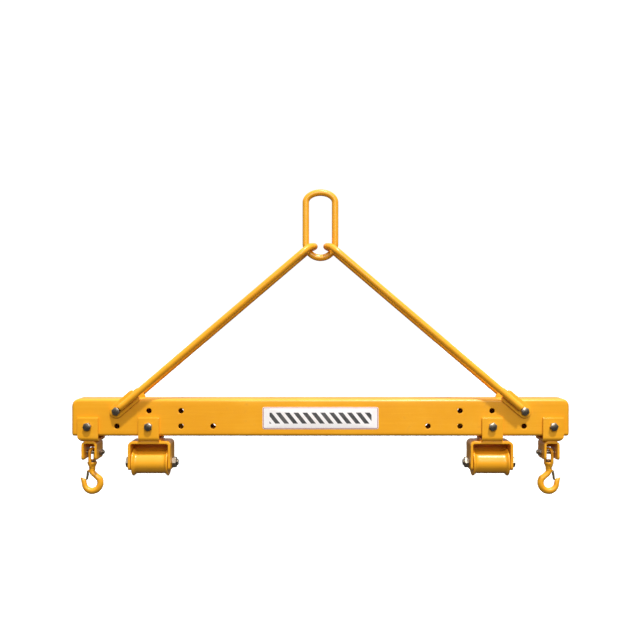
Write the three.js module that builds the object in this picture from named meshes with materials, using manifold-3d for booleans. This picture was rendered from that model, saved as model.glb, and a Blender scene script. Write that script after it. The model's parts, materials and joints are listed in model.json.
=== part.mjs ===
// Adjustable lifting spreader beam.
//
// A capped box-section beam hangs from two hairpin arms that meet in an oblong master link.
// Folded saddles, bolted round the beam, carry two sling rollers and, at the ends, two swivel
// hooks with spring latches. Spare holes let the roller saddles be bolted further in or out.
//
// Millimetres. +X runs along the beam to the right, +Y away from the front face, +Z up. Heights
// are measured from the beam's underside, and the finished group is lowered so that the origin
// is the crane hook's seat, at the top of the master link's opening.

import * as THREE from 'three';
import { mergeVertices } from 'three/addons/utils/BufferGeometryUtils.js';
import Module from 'manifold-3d';

const wasm = await Module();
wasm.setup();

// ---- Driving dimensions ----

const GAP = 0.3; // left between pieces that touch
const SIDES = 12; // facets round a bar, bolt or hole
const RIGHT_ANGLE = Math.PI / 2;

const beam = { length: 2012, depth: 100, height: 150, wall: 6, corner: 12 };
const beamEnd = { topRadius: 30, lowRadius: 8, sideRadius: 14 };
const label = { length: 468, height: 89, thickness: 1, corner: 8, centre: 73 };

const columns = { first: 434, pitch: 129.3, end: 938 }; // hole columns, from the middle
const rows = { low: 40, top: 102 }; // hole rows, above the underside
const holeRadius = 11;

const saddle = { width: 84, wall: 10, top: 75, bottom: -22, bend: 18, cutCorner: 25 };
const rollerFork = { width: 172, wall: 10, bend: 18, foot: -139, axle: -113, depth: 100, corner: 12, back: -76 };
const hookFork = { width: 62, wall: 9, bend: 16, foot: -97, axle: -72, depth: 100, corner: 12, back: -58 };
const hookAxis = 935; // from the middle

const m20 = { shank: 10, flats: 30, head: 12.5, nut: 16, end: 6 };
const m16 = { shank: 8, flats: 24, head: 10, nut: 13, end: 6 };
const axleBolt = { shank: 13, flats: 40, head: 16, nut: 18, end: 6 };
const crushSleeve = { inner: 11, outer: 15 };

const roller = { length: 148, drum: 45.5, drumHalf: 55, flange: 55, rim: 12, bore: 17.5, bushBore: 13.8 };

const bar = 13.5; // radius of the bar that the arms and the master link are bent from
const lug = { radius: 27, reach: 105, thickness: 10, corner: 12, barStart: 22 };
const crown = { halfGap: 24.7, height: 769.5, pitch: 14, turn: 26, run: 20, knee: 30 }; // arm tops, degrees
const link = { halfWidth: 46.5, archHeight: 40, bottom: 737, top: 977 }; // inside of the master link

const bail = { bar: 6, halfWidth: 19.5, archHeight: 14.6, shoulder: -106, foot: -128.3, footHalf: 13 };
const boss = { top: -112.3, foot: -138, topRadius: 19.5, footRadius: 13, bore: 8.6, recess: 12 };
const stem = { radius: 7.5, top: -102, collar: 11, collarTop: -104.5, collarBore: 8.1 };
// The hook's forging: its section is an oval, thinner at the tip.
const bowl = { centre: [1, -197], inner: 21.5, outer: 48, outerAtTip: 42, from: 150, to: 352 };
const forging = { halfDepth: 12, halfDepthAtTip: 10, neck: 12.5 };
const latch = { hinge: [16.5, -150], length: 36, width: 15, height: 6, sheet: 2, lean: 9.2 };
const latchPin = { radius: 2.5, ear: 4, earWidth: 10, overhang: 2 };
const bailTurn = { left: THREE.MathUtils.degToRad(-16), right: THREE.MathUtils.degToRad(28) };
const backPlate = 6; // thickness of the plate between a fork's legs, behind

// ---- Finishes ----

const finishes = {
  yellowPaint: { color: 0xe9a72b, roughness: 0.45, metalness: 0.0 },
  zinc: { color: 0xa7a298, roughness: 0.4, metalness: 0.9 },
  bronze: { color: 0xb08443, roughness: 0.45, metalness: 0.9 },
  sheetSteel: { color: 0xb59a63, roughness: 0.45, metalness: 0.8 },
  label: { color: 0xf2f0ea, roughness: 0.5, metalness: 0.0 },
};

// ---- Cutting and joining ----

function solidOf(geometry) {
  const bare = geometry.clone();
  bare.deleteAttribute('normal');
  bare.deleteAttribute('uv');
  const merged = mergeVertices(bare);
  return new wasm.Manifold(new wasm.Mesh({
    numProp: 3,
    vertProperties: new Float32Array(merged.attributes.position.array),
    triVerts: new Uint32Array(merged.index.array),
  }));
}

function geometryOf(solid) {
  const mesh = solid.getMesh();
  const geometry = new THREE.BufferGeometry();
  geometry.setAttribute('position', new THREE.BufferAttribute(mesh.vertProperties, 3));
  geometry.setIndex(new THREE.BufferAttribute(mesh.triVerts, 1));
  return geometry;
}

const combine = (operation) => (body, ...others) =>
  geometryOf(others.reduce((solid, other) => solid[operation](solidOf(other)), solidOf(body)));
const cut = combine('subtract');
const join = combine('add');
const common = combine('intersect');

// ---- Extruded outlines ----

// A rectangle with a radius of its own at each corner, anticlockwise from the lower left.
function roundedRectangle(left, bottom, right, top, [lowLeft, lowRight, topRight, topLeft]) {
  const shape = new THREE.Shape();
  shape.moveTo(left + lowLeft, bottom);
  shape.absarc(right - lowRight, bottom + lowRight, lowRight, -RIGHT_ANGLE, 0, false);
  shape.absarc(right - topRight, top - topRight, topRight, 0, RIGHT_ANGLE, false);
  shape.absarc(left + topLeft, top - topLeft, topLeft, RIGHT_ANGLE, Math.PI, false);
  shape.absarc(left + lowLeft, bottom + lowLeft, lowLeft, Math.PI, 3 * RIGHT_ANGLE, false);
  return shape;
}

const evenRectangle = (width, bottom, top, radius) =>
  roundedRectangle(-width / 2, bottom, width / 2, top, [radius, radius, radius, radius]);

// A flat bar folded into a channel that opens upwards, standing on the middle of its base.
function channelOutline(width, wall, height, bend) {
  const half = width / 2;
  const shape = new THREE.Shape();
  shape.moveTo(-half, height);
  shape.absarc(-half + bend, bend, bend, Math.PI, 3 * RIGHT_ANGLE, false);
  shape.absarc(half - bend, bend, bend, -RIGHT_ANGLE, 0, false);
  shape.lineTo(half, height);
  shape.lineTo(half - wall, height);
  shape.absarc(half - bend, bend, bend - wall, 0, -RIGHT_ANGLE, true);
  shape.absarc(-half + bend, bend, bend - wall, -RIGHT_ANGLE, -Math.PI, true);
  shape.lineTo(-half + wall, height);
  return shape;
}

// Centred extrusions. Along Z an outline keeps its own axes; along Y it stands in X and Z, and
// along X in Y and Z.
function alongZ(shape, length, arcSteps = 5) {
  const options = { depth: length, bevelEnabled: false, curveSegments: arcSteps };
  return new THREE.ExtrudeGeometry(shape, options).translate(0, 0, -length / 2);
}
const alongY = (shape, length, arcSteps) => alongZ(shape, length, arcSteps).rotateX(RIGHT_ANGLE);
const alongX = (shape, length, arcSteps) => alongY(shape, length, arcSteps).rotateZ(RIGHT_ANGLE);

// Round rods, centred, with their facets' corners on the radius.
const rodAlongY = (radius, length) => new THREE.CylinderGeometry(radius, radius, length, SIDES);
const rodAlongX = (radius, length) => rodAlongY(radius, length).rotateZ(RIGHT_ANGLE);
const rodAlongZ = (radius, length) => rodAlongY(radius, length).rotateX(RIGHT_ANGLE);

// ---- Bars of any section ----

// Skins a list of rings of points; an open list is closed by a flat cap at each end.
function skin(rings, closed = false) {
  const count = rings[0].length;
  const faces = [];
  const bands = closed ? rings.length : rings.length - 1;
  for (let band = 0; band < bands; band += 1) {
    const near = band * count;
    const far = ((band + 1) % rings.length) * count;
    for (let i = 0; i < count; i += 1) {
      const next = (i + 1) % count;
      faces.push(near + i, near + next, far + next, near + i, far + next, far + i);
    }
  }
  if (!closed) {
    const last = (rings.length - 1) * count;
    for (let i = 1; i < count - 1; i += 1) {
      faces.push(0, i + 1, i, last, last + i, last + i + 1);
    }
  }
  const geometry = new THREE.BufferGeometry();
  const positions = rings.flat().flatMap((point) => point.toArray());
  geometry.setAttribute('position', new THREE.Float32BufferAttribute(positions, 3));
  geometry.setIndex(faces);
  return geometry;
}

// Carries a round section along stations {at, along, normal}; normal is square to along.
function roundBar(stations, radius, closed = false) {
  const rings = stations.map(({ at, along, normal }) => {
    const side = new THREE.Vector3().crossVectors(along, normal);
    return Array.from({ length: SIDES }, (_, i) => {
      const angle = (i / SIDES) * 2 * Math.PI;
      return at.clone()
        .addScaledVector(normal, radius * Math.cos(angle))
        .addScaledVector(side, radius * Math.sin(angle));
    });
  });
  return skin(rings, closed);
}

const steps = (count, from, to) =>
  Array.from({ length: count + 1 }, (_, i) => from + ((to - from) * i) / count);

// ---- Fasteners, along +Y from the underside of the head ----

const hexagon = (size, length) =>
  new THREE.CylinderGeometry(size.flats / Math.sqrt(3), size.flats / Math.sqrt(3), length, 6);

function boltGeometry(size, grip) {
  const shankLength = grip + size.nut + size.end + 2 * GAP;
  const bite = size.head / 2;
  const shank = rodAlongY(size.shank, shankLength + bite).translate(0, (shankLength - bite) / 2, 0);
  return join(hexagon(size, size.head).translate(0, -size.head / 2, 0), shank);
}

const nutGeometry = (size) =>
  cut(hexagon(size, size.nut), rodAlongY((size.shank + GAP) / Math.cos(Math.PI / SIDES), 2 * size.nut));

// ---- Scene graph ----

const spreader = new THREE.Group();
const assembly = new THREE.Group(); // heights from the beam's underside
assembly.position.z = -link.top;
spreader.add(assembly);

function place(parent, name, geometry, finish, position = [0, 0, 0], rotation = [0, 0, 0]) {
  const mesh = new THREE.Mesh(geometry, new THREE.MeshStandardMaterial(finishes[finish]));
  mesh.name = name;
  mesh.position.set(...position);
  mesh.rotation.set(...rotation);
  parent.add(mesh);
  return mesh;
}

// Pieces of the left end are those of the right end, turned half round about the middle.
const sides = ['left', 'right'].map((name) => {
  const group = new THREE.Group();
  group.rotation.z = name === 'left' ? Math.PI : 0;
  assembly.add(group);
  return { name, sign: name === 'left' ? -1 : 1, group };
});

const columnAt = (index) => columns.first + index * columns.pitch;
const armColumn = columnAt(3);
const rollerColumn = columnAt(2);
const lowColumns = [0, 1, 2, 3].map(columnAt).concat(columns.end);
const topColumns = [1, 2, 3].map(columnAt);

// ---- Beam: box-section tube, end caps and label ----

// The whole beam's envelope, drawn in from its faces: rounded ends in front view and in plan.
function beamEnvelope(inset) {
  const reach = beam.length / 2 - inset;
  const half = beam.depth / 2 - inset;
  const low = beamEnd.lowRadius - Math.min(inset, beamEnd.lowRadius - 1);
  const top = beamEnd.topRadius - inset;
  const side = beamEnd.sideRadius - inset;
  const front = roundedRectangle(-reach, inset, reach, beam.height - inset, [low, low, top, top]);
  const plan = roundedRectangle(-reach, -half, reach, half, [side, side, side, side]);
  return common(
    alongY(front, beam.depth),
    alongZ(plan, 2 * beam.height, 3).translate(0, 0, beam.height / 2),
  );
}

// The section's inside, drawn in by a clearance.
const beamInside = (clearance) => alongX(evenRectangle(
  beam.depth - 2 * (beam.wall + clearance),
  beam.wall + clearance,
  beam.height - beam.wall - clearance,
  beam.corner - beam.wall,
), beam.length + 2 * beam.wall, 3);

const holes = [
  ...lowColumns.map((x) => [x, rows.low]),
  ...topColumns.map((x) => [x, rows.top]),
].flatMap(([x, z]) => [[x, z], [-x, z]]);
const holeTools = holes.map(([x, z]) => rodAlongY(holeRadius, 2 * beam.depth).translate(x, 0, z));
const boxSection = alongX(evenRectangle(beam.depth, 0, beam.height, beam.corner), beam.length, 4);
place(assembly, 'beam_tube',
  cut(common(boxSection, beamEnvelope(0)), beamInside(0), ...holeTools), 'yellowPaint');

const capZone = new THREE.BoxGeometry(2 * beamEnd.topRadius, 2 * beam.depth, 2 * beam.height)
  .translate(beam.length / 2 - beam.wall, 0, beam.height / 2);
const capGeometry = cut(common(beamEnvelope(0), beamInside(GAP), capZone), beamEnvelope(beam.wall));

const labelOutline = evenRectangle(label.length, -label.height / 2, label.height / 2, label.corner);
place(assembly, 'side_label', alongY(labelOutline, label.thickness, 3), 'label',
  [0, -beam.depth / 2 - GAP - label.thickness / 2, label.centre]);

// ---- Saddles: flat bar folded round the beam from below ----

const saddleHeight = saddle.top - saddle.bottom;
const saddleOutside = beam.depth + 2 * (GAP + saddle.wall);
const saddleGeometry = cut(
  alongX(channelOutline(saddleOutside, saddle.wall, saddleHeight, saddle.bend), saddle.width),
  rodAlongY(holeRadius, 2 * saddleOutside).translate(0, 0, rows.low - saddle.bottom),
);
// The hook saddle's lower outer corners are rounded off, towards the beam's end.
const hookSaddleGeometry = common(saddleGeometry, alongY(roundedRectangle(
  -saddle.width / 2, 0, saddle.width / 2, saddleHeight, [1, saddle.cutCorner, 1, 1],
), 2 * saddleOutside));

// ---- Forks: flat bar folded downwards, welded under a saddle ----

const forkTop = saddle.bottom - GAP;

function forkGeometry(fork, boltRadius) {
  const height = forkTop - fork.foot;
  const outline = channelOutline(fork.width, fork.wall, height, fork.bend);
  const folded = alongY(outline, fork.depth).rotateY(Math.PI);
  const feet = alongX(roundedRectangle(
    -fork.depth / 2, -height, fork.depth / 2, 0, [fork.corner, fork.corner, 1, 1],
  ), 2 * fork.width, 3);
  const hole = rodAlongX((boltRadius + GAP) / Math.cos(Math.PI / SIDES), 2 * fork.width)
    .translate(0, 0, fork.axle - forkTop);
  const backHeight = forkTop - fork.wall / 2 - 2 - fork.back;
  const back = new THREE.BoxGeometry(fork.width - fork.wall, backPlate, backHeight)
    .translate(0, (fork.depth - backPlate) / 2, fork.back - forkTop + backHeight / 2);
  return cut(join(common(folded, feet), back), hole);
}

const rollerForkGeometry = forkGeometry(rollerFork, axleBolt.shank);
const hookForkGeometry = forkGeometry(hookFork, m16.shank);
const forkStack = hookFork.width / 2 + GAP;
const hookBoltGeometry = boltGeometry(m16, 2 * forkStack - 2 * GAP).rotateZ(RIGHT_ANGLE);
const hookNutGeometry = nutGeometry(m16).rotateZ(RIGHT_ANGLE);

// ---- Bolts through the beam, with crush sleeves inside it ----

const stackHalf = beam.depth / 2 + GAP + saddle.wall + GAP; // lugs are as thick as saddles
const crossBoltGeometry = boltGeometry(m20, 2 * stackHalf - 2 * GAP);
const crossNutGeometry = nutGeometry(m20);
const sleeveLength = beam.depth - 2 * beam.wall - 2 * GAP;
const sleeveGeometry = new THREE.LatheGeometry([
  new THREE.Vector2(crushSleeve.inner, -sleeveLength / 2),
  new THREE.Vector2(crushSleeve.outer, -sleeveLength / 2),
  new THREE.Vector2(crushSleeve.outer, sleeveLength / 2),
  new THREE.Vector2(crushSleeve.inner, sleeveLength / 2),
  new THREE.Vector2(crushSleeve.inner, -sleeveLength / 2),
], SIDES);

function crossBolt(name, x, z) {
  place(assembly, `${name}_bolt`, crossBoltGeometry, 'zinc', [x, -stackHalf, z]);
  place(assembly, `${name}_nut`, crossNutGeometry, 'zinc', [x, stackHalf + m20.nut / 2, z]);
  place(assembly, `${name}_crush_sleeve`, sleeveGeometry, 'zinc', [x, 0, z]);
}

// ---- Sling rollers ----

// Half of the bobbin's outline, from the middle of the drum out to the flange, as (radius, x).
function rollerOutline() {
  const end = roller.length / 2;
  const hollow = steps(3, 0, RIGHT_ANGLE).map((angle) => [
    roller.flange - (roller.flange - roller.drum) * Math.cos(angle),
    roller.drumHalf + (end - roller.rim / 2 - roller.drumHalf) * Math.sin(angle),
  ]);
  return [...hollow, [roller.flange, end], [roller.bore, end]];
}

const halfOutline = rollerOutline();
const rollerGeometry = new THREE.LatheGeometry([
  ...halfOutline.map(([radius, x]) => new THREE.Vector2(radius, x)),
  ...halfOutline.map(([radius, x]) => new THREE.Vector2(radius, -x)).reverse(),
  new THREE.Vector2(...halfOutline[0]),
], 2 * SIDES).rotateZ(-RIGHT_ANGLE);
const bushLength = roller.length + 1;
const bushOuter = roller.bore * Math.cos(Math.PI / (2 * SIDES)) - GAP;
const bushGeometry = new THREE.LatheGeometry([
  new THREE.Vector2(roller.bushBore, -bushLength / 2),
  new THREE.Vector2(bushOuter, -bushLength / 2),
  new THREE.Vector2(bushOuter, bushLength / 2),
  new THREE.Vector2(roller.bushBore, bushLength / 2),
  new THREE.Vector2(roller.bushBore, -bushLength / 2),
], 2 * SIDES).rotateZ(-RIGHT_ANGLE);

const axleStack = rollerFork.width / 2 + GAP;
const axleBoltGeometry = boltGeometry(axleBolt, 2 * axleStack - 2 * GAP).rotateZ(RIGHT_ANGLE);
const axleNutGeometry = nutGeometry(axleBolt).rotateZ(RIGHT_ANGLE);

// ---- Arms: a hairpin of round bar, with a lug at each foot ----

const crownRise = THREE.MathUtils.degToRad(crown.pitch);
const crownTurn = THREE.MathUtils.degToRad(crown.turn);
// The corner where the straight legs' line would meet the crown's line, from the arm bolt.
const kneeX = armColumn - crown.halfGap - crown.run * Math.cos(crownRise);
const kneeZ = crown.height - crown.run * Math.sin(crownRise) - rows.top;
const armAngle = Math.atan2(kneeZ, kneeX);
const kneeTangent = crown.knee * Math.tan(crownTurn / 2);
const kneeStart = Math.hypot(kneeX, kneeZ) - kneeTangent;
const kneeEnd = kneeStart + crown.knee * crownTurn;
const armReach = kneeEnd + crown.run - kneeTangent;
const legOffset = beam.depth / 2 + GAP + lug.thickness + GAP + bar;

// A flat strip from the bolt, bent at the knee: distance along it gives its place and slope.
function strip(distance) {
  const slope = THREE.MathUtils.clamp((distance - kneeStart) / crown.knee, 0, crownTurn);
  const before = Math.min(distance, kneeStart);
  const after = Math.max(distance - kneeEnd, 0);
  return {
    x: before + crown.knee * Math.sin(slope) + after * Math.cos(slope),
    z: crown.knee * (1 - Math.cos(slope)) + after * Math.sin(slope),
    slope,
  };
}

// The hairpin lies in that strip: up one leg, half a circle round, and down the other leg.
function hairpinStation(distance, y, heading) {
  const { x, z, slope } = strip(distance);
  return {
    at: new THREE.Vector3(x, y, z),
    along: new THREE.Vector3(
      Math.cos(heading) * Math.cos(slope), Math.sin(heading), Math.cos(heading) * Math.sin(slope),
    ),
    normal: new THREE.Vector3(-Math.sin(slope), 0, Math.cos(slope)),
  };
}

const hairpinGeometry = roundBar([
  hairpinStation(lug.barStart, -legOffset, 0),
  ...steps(14, 0, Math.PI).map((heading) => hairpinStation(
    armReach - legOffset + legOffset * Math.sin(heading), -legOffset * Math.cos(heading), heading,
  )),
  hairpinStation(lug.barStart, legOffset, Math.PI),
], bar);

const lugGeometry = cut(
  alongY(roundedRectangle(
    -lug.radius, -lug.radius, lug.reach, lug.radius, [lug.radius, lug.corner, lug.corner, lug.radius],
  ), lug.thickness),
  rodAlongY((m20.shank + GAP) / Math.cos(Math.PI / SIDES), 2 * lug.thickness),
);
const lugOffset = beam.depth / 2 + GAP + lug.thickness / 2;

// ---- Master link ----

const linkRadius = link.halfWidth + bar;
const linkArc = (centre, height, from) => steps(10, from, from + Math.PI).map((angle) => ({
  at: new THREE.Vector3(linkRadius * Math.cos(angle), 0, centre + height * Math.sin(angle)),
  along: new THREE.Vector3(-linkRadius * Math.sin(angle), 0, height * Math.cos(angle)).normalize(),
  normal: new THREE.Vector3(0, 1, 0),
}));
place(assembly, 'master_link', roundBar([
  ...linkArc(link.top + bar - link.archHeight, link.archHeight, 0),
  ...linkArc(link.bottom + link.halfWidth, linkRadius, Math.PI),
], bar, true), 'yellowPaint');

// ---- Swivel bail: an arch over the fork bolt, on a boss for the hook's stem ----

// A station of the bail's bar, which lies in the plane of Y and Z: its place and its heading.
const bailStation = ([y, z], [headingY, headingZ]) => ({
  at: new THREE.Vector3(0, y, z),
  along: new THREE.Vector3(0, headingY, headingZ).normalize(),
  normal: new THREE.Vector3(1, 0, 0),
});
const legHeading = [bail.halfWidth - bail.footHalf, bail.shoulder - bail.foot];
const shoulderHeading = [legHeading[0], 2 * legHeading[1]]; // half way between the leg and upright
const arch = steps(10, 0, Math.PI).map((angle) => bailStation(
  [bail.halfWidth * Math.cos(angle), hookFork.axle + bail.archHeight * Math.sin(angle)],
  [-bail.halfWidth * Math.sin(angle), bail.archHeight * Math.cos(angle)],
));
const bailBar = roundBar([
  bailStation([bail.footHalf, bail.foot], legHeading),
  bailStation([bail.halfWidth, bail.shoulder], shoulderHeading),
  ...arch,
  bailStation([-bail.halfWidth, bail.shoulder], [shoulderHeading[0], -shoulderHeading[1]]),
  bailStation([-bail.footHalf, bail.foot], [legHeading[0], -legHeading[1]]),
], bail.bar);
const bossHeight = boss.top - boss.foot;
const bossCone = new THREE.CylinderGeometry(boss.topRadius, boss.footRadius, bossHeight, 2 * SIDES)
  .rotateX(RIGHT_ANGLE).translate(0, 0, (boss.top + boss.foot) / 2);
// Above the boss the legs are cut clear of the collar.
const bailGeometry = cut(
  join(bailBar, bossCone),
  rodAlongZ(boss.bore, 2 * bossHeight).translate(0, 0, boss.foot),
  rodAlongZ(boss.recess, bossHeight).translate(0, 0, boss.top + bossHeight / 2),
);

const collarHeight = stem.collarTop - boss.top - GAP;
const collarGeometry = cut(
  rodAlongZ(stem.collar, collarHeight),
  rodAlongZ(stem.collarBore, 2 * collarHeight),
);

// ---- Hook ----

// A ring of the forging, reaching from an inner to an outer point in front view.
function forgedRing([innerX, innerZ], [outerX, outerZ], halfDepth) {
  return Array.from({ length: SIDES }, (_, i) => {
    const angle = (i / SIDES) * 2 * Math.PI;
    const blend = (1 - Math.cos(angle)) / 2;
    const x = THREE.MathUtils.lerp(innerX, outerX, blend);
    const z = THREE.MathUtils.lerp(innerZ, outerZ, blend);
    return new THREE.Vector3(x, -halfDepth * Math.sin(angle), z);
  });
}

const stemRing = (radius, z) => forgedRing([radius, z], [-radius, z], radius);

// Round the bowl the section runs from the inner circle to an outer one that closes in on the tip.
function bowlRing(degrees) {
  const angle = THREE.MathUtils.degToRad(degrees);
  const towardsTip = THREE.MathUtils.smoothstep(degrees, 270, 360);
  const outer = THREE.MathUtils.lerp(bowl.outer, bowl.outerAtTip, towardsTip);
  const halfDepth = THREE.MathUtils.lerp(forging.halfDepth, forging.halfDepthAtTip, towardsTip);
  const point = (radius) => [
    bowl.centre[0] + radius * Math.cos(angle), bowl.centre[1] + radius * Math.sin(angle),
  ];
  return forgedRing(point(bowl.inner), point(outer), halfDepth);
}

const neckTop = boss.foot - GAP;
const hookForging = skin([
  stemRing(stem.radius, stem.top),
  stemRing(stem.radius, neckTop),
  stemRing(forging.neck, neckTop),
  forgedRing([12.5, -150], [-12, -149], forging.neck),
  forgedRing([5, -165], [-24, -160.5], forging.neck),
  ...steps(9, bowl.from, bowl.to).map(bowlRing),
  forgedRing([24, -190], [45.5, -187], 8.5),
  forgedRing([27, -183.5], [48.5, -176.5], 6.5),
]);
const [hingeX, hingeZ] = latch.hinge;
const ear = alongY(roundedRectangle(
  0, hingeZ - latchPin.ear, hingeX + latchPin.ear, hingeZ + latchPin.ear,
  [1, latchPin.ear, latchPin.ear, 1],
), latchPin.earWidth, 3);
const pinBore = latchPin.radius + GAP;
const hookGeometry = cut(
  join(hookForging, ear),
  rodAlongY(pinBore, 2 * latch.width).translate(hingeX, 0, hingeZ),
);

// ---- Latch: pressed sheet, its length along +X from the hinge and its outer face to +Z ----

const halfSheet = latch.height / 2;
const latchGeometry = cut(
  alongY(roundedRectangle(
    -halfSheet, -halfSheet, latch.length, halfSheet, [halfSheet, 2, 2, halfSheet],
  ), latch.width, 4),
  new THREE.BoxGeometry(latch.length, latch.width - 2 * latch.sheet, latch.height)
    .translate(latch.length / 2 - 2 * halfSheet, 0, -latch.sheet),
  new THREE.BoxGeometry(4 * halfSheet, latch.width - 2 * latch.sheet, 2 * latch.height),
  rodAlongY(pinBore, 2 * latch.width),
);
const pinGeometry = rodAlongY(latchPin.radius - GAP / 2, latch.width + 2 * latchPin.overhang);
const latchTurn = RIGHT_ANGLE - THREE.MathUtils.degToRad(latch.lean);

// ---- Ends: everything that is alike left and right ----

for (const { name, sign, group } of sides) {
  const behind = name === 'left' ? Math.PI : 0; // turns a fork's back plate behind the beam
  place(group, `${name}_end_cap`, capGeometry, 'yellowPaint');
  place(group, `${name}_hook_saddle`, hookSaddleGeometry, 'yellowPaint', [columns.end, 0, saddle.bottom]);
  place(group, `${name}_hook_fork`, hookForkGeometry, 'yellowPaint', [hookAxis, 0, forkTop],
    [0, 0, behind]);
  place(group, `${name}_roller_saddle`, saddleGeometry, 'yellowPaint', [rollerColumn, 0, saddle.bottom]);
  place(group, `${name}_roller_fork`, rollerForkGeometry, 'yellowPaint', [rollerColumn, 0, forkTop],
    [0, 0, behind]);

  crossBolt(`${name}_hook_saddle`, sign * columns.end, rows.low);
  crossBolt(`${name}_roller_saddle`, sign * rollerColumn, rows.low);
  crossBolt(`${name}_arm`, sign * armColumn, rows.top);

  const arm = new THREE.Group();
  arm.position.set(armColumn, 0, rows.top);
  arm.rotation.y = Math.PI + armAngle;
  group.add(arm);
  place(arm, `${name}_arm_bar`, hairpinGeometry, 'yellowPaint');
  place(arm, `${name}_arm_front_lug`, lugGeometry, 'yellowPaint', [0, -sign * lugOffset, 0]);
  place(arm, `${name}_arm_rear_lug`, lugGeometry, 'yellowPaint', [0, sign * lugOffset, 0]);

  const axleAt = [sign * rollerColumn, 0, rollerFork.axle];
  place(assembly, `${name}_roller`, rollerGeometry, 'yellowPaint', axleAt);
  place(assembly, `${name}_roller_bush`, bushGeometry, 'bronze', axleAt);

  // The heads of the axle bolt and the hook bolt face outwards and their nuts inwards.
  const headAt = rollerColumn + axleStack;
  const nutAt = rollerColumn - axleStack - axleBolt.nut / 2;
  place(group, `${name}_axle_bolt`, axleBoltGeometry, 'zinc', [headAt, 0, rollerFork.axle]);
  place(group, `${name}_axle_nut`, axleNutGeometry, 'zinc', [nutAt, 0, rollerFork.axle]);
  const forkNutAt = hookAxis - forkStack - m16.nut / 2;
  place(group, `${name}_hook_bolt`, hookBoltGeometry, 'zinc', [hookAxis + forkStack, 0, hookFork.axle]);
  place(group, `${name}_hook_bolt_nut`, hookNutGeometry, 'zinc', [forkNutAt, 0, hookFork.axle]);

  const hanger = new THREE.Group(); // bail and hook, about the hook's own axis
  hanger.position.x = hookAxis;
  group.add(hanger);
  place(hanger, `${name}_bail`, bailGeometry, 'yellowPaint', [0, 0, 0],
    [0, 0, bailTurn[name]]);
  place(hanger, `${name}_hook`, hookGeometry, 'yellowPaint');
  place(hanger, `${name}_stem_collar`, collarGeometry, 'zinc',
    [0, 0, (stem.collarTop + boss.top + GAP) / 2]);
  place(hanger, `${name}_latch`, latchGeometry, 'sheetSteel', [hingeX, 0, hingeZ], [0, latchTurn, 0]);
  place(hanger, `${name}_latch_pin`, pinGeometry, 'zinc', [hingeX, 0, hingeZ]);
}

export default spreader;
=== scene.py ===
"""Adjustable lifting spreader beam, finished surfaces.

A capped box-section beam hangs from two hairpin arms that meet in an oblong master link. Folded
saddles, bolted round the beam, carry two sling rollers and two swivel hooks with spring latches.

Metres. +X runs along the beam to the right, +Y away from the front face, +Z up. The sizes below
give heights from the beam's underside, and in_frame() lowers them to the model's own frame.
"""

import json
import math

import bmesh
import bpy
import numpy as np
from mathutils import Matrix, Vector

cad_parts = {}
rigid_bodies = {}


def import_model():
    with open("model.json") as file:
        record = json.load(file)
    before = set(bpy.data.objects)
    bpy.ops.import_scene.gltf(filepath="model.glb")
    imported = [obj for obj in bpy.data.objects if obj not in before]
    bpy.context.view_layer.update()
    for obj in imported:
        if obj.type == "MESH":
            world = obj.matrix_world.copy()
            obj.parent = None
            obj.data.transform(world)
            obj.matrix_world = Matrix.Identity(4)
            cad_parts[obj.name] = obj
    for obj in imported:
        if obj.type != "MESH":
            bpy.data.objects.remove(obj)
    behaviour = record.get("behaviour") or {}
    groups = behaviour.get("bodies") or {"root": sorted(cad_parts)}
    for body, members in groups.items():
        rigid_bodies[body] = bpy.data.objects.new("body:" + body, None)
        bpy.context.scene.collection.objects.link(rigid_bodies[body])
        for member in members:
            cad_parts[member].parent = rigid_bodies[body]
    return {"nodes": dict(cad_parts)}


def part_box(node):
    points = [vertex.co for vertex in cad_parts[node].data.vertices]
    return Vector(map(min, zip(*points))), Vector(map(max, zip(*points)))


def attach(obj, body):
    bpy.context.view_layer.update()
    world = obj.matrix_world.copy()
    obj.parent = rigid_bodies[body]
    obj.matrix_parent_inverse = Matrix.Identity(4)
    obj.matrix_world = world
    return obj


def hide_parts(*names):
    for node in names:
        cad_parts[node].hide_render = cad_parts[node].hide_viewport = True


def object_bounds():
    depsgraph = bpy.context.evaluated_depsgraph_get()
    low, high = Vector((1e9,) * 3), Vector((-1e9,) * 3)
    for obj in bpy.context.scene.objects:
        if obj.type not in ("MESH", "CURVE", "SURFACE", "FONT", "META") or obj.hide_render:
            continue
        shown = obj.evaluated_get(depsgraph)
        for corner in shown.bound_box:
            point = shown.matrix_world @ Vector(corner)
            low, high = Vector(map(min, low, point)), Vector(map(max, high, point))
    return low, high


bl_info = {
    "name": "Spreader Beam",
    "version": (1, 0, 0),
    "blender": (4, 5, 0),
    "location": "View3D > Sidebar > Spreader",
    "description": "Builds an adjustable lifting spreader beam piece by piece",
    "category": "Add Mesh",
}

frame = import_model()
CAD_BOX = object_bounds()
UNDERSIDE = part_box("beam_tube")[0].z

MM = 0.001
GAP = 0.3 * MM  # between pieces that touch
BAR_EDGE = 1.5 * MM  # rounding of a flat bar's edges
ROUND = 72  # points round a hexagon's ring
LABEL_CORNER = 8 * MM
BORDER_IN, BORDER_HALF = 3.2 * MM, 1.1 * MM  # the label's line: distance in, and half width
STRIPE_PITCH, STRIPE_SLANT, STRIPE_GAP = 36 * MM, 0.8, 0.45
BAND_WIDTH, BAND_HEIGHT = 0.88, 0.5  # shares of the label that the stripes fill
HOLE_SQUARE = 1.4  # half side of the square round a hole, in hole radii
FACE_CIRCLE = 0.465  # radius of the flat on a hexagon's face, in widths across flats
FACE_FALL = 30  # degrees, of the corners outside that flat
SADDLE_BEAD, LUG_BEAD = 3.4 * MM, 3.2 * MM  # radii of the welds
EAR_X, EAR_Z, EAR_RADIUS, EAR_WIDTH = 16.5 * MM, -150 * MM, 4.4 * MM, 10 * MM
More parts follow.
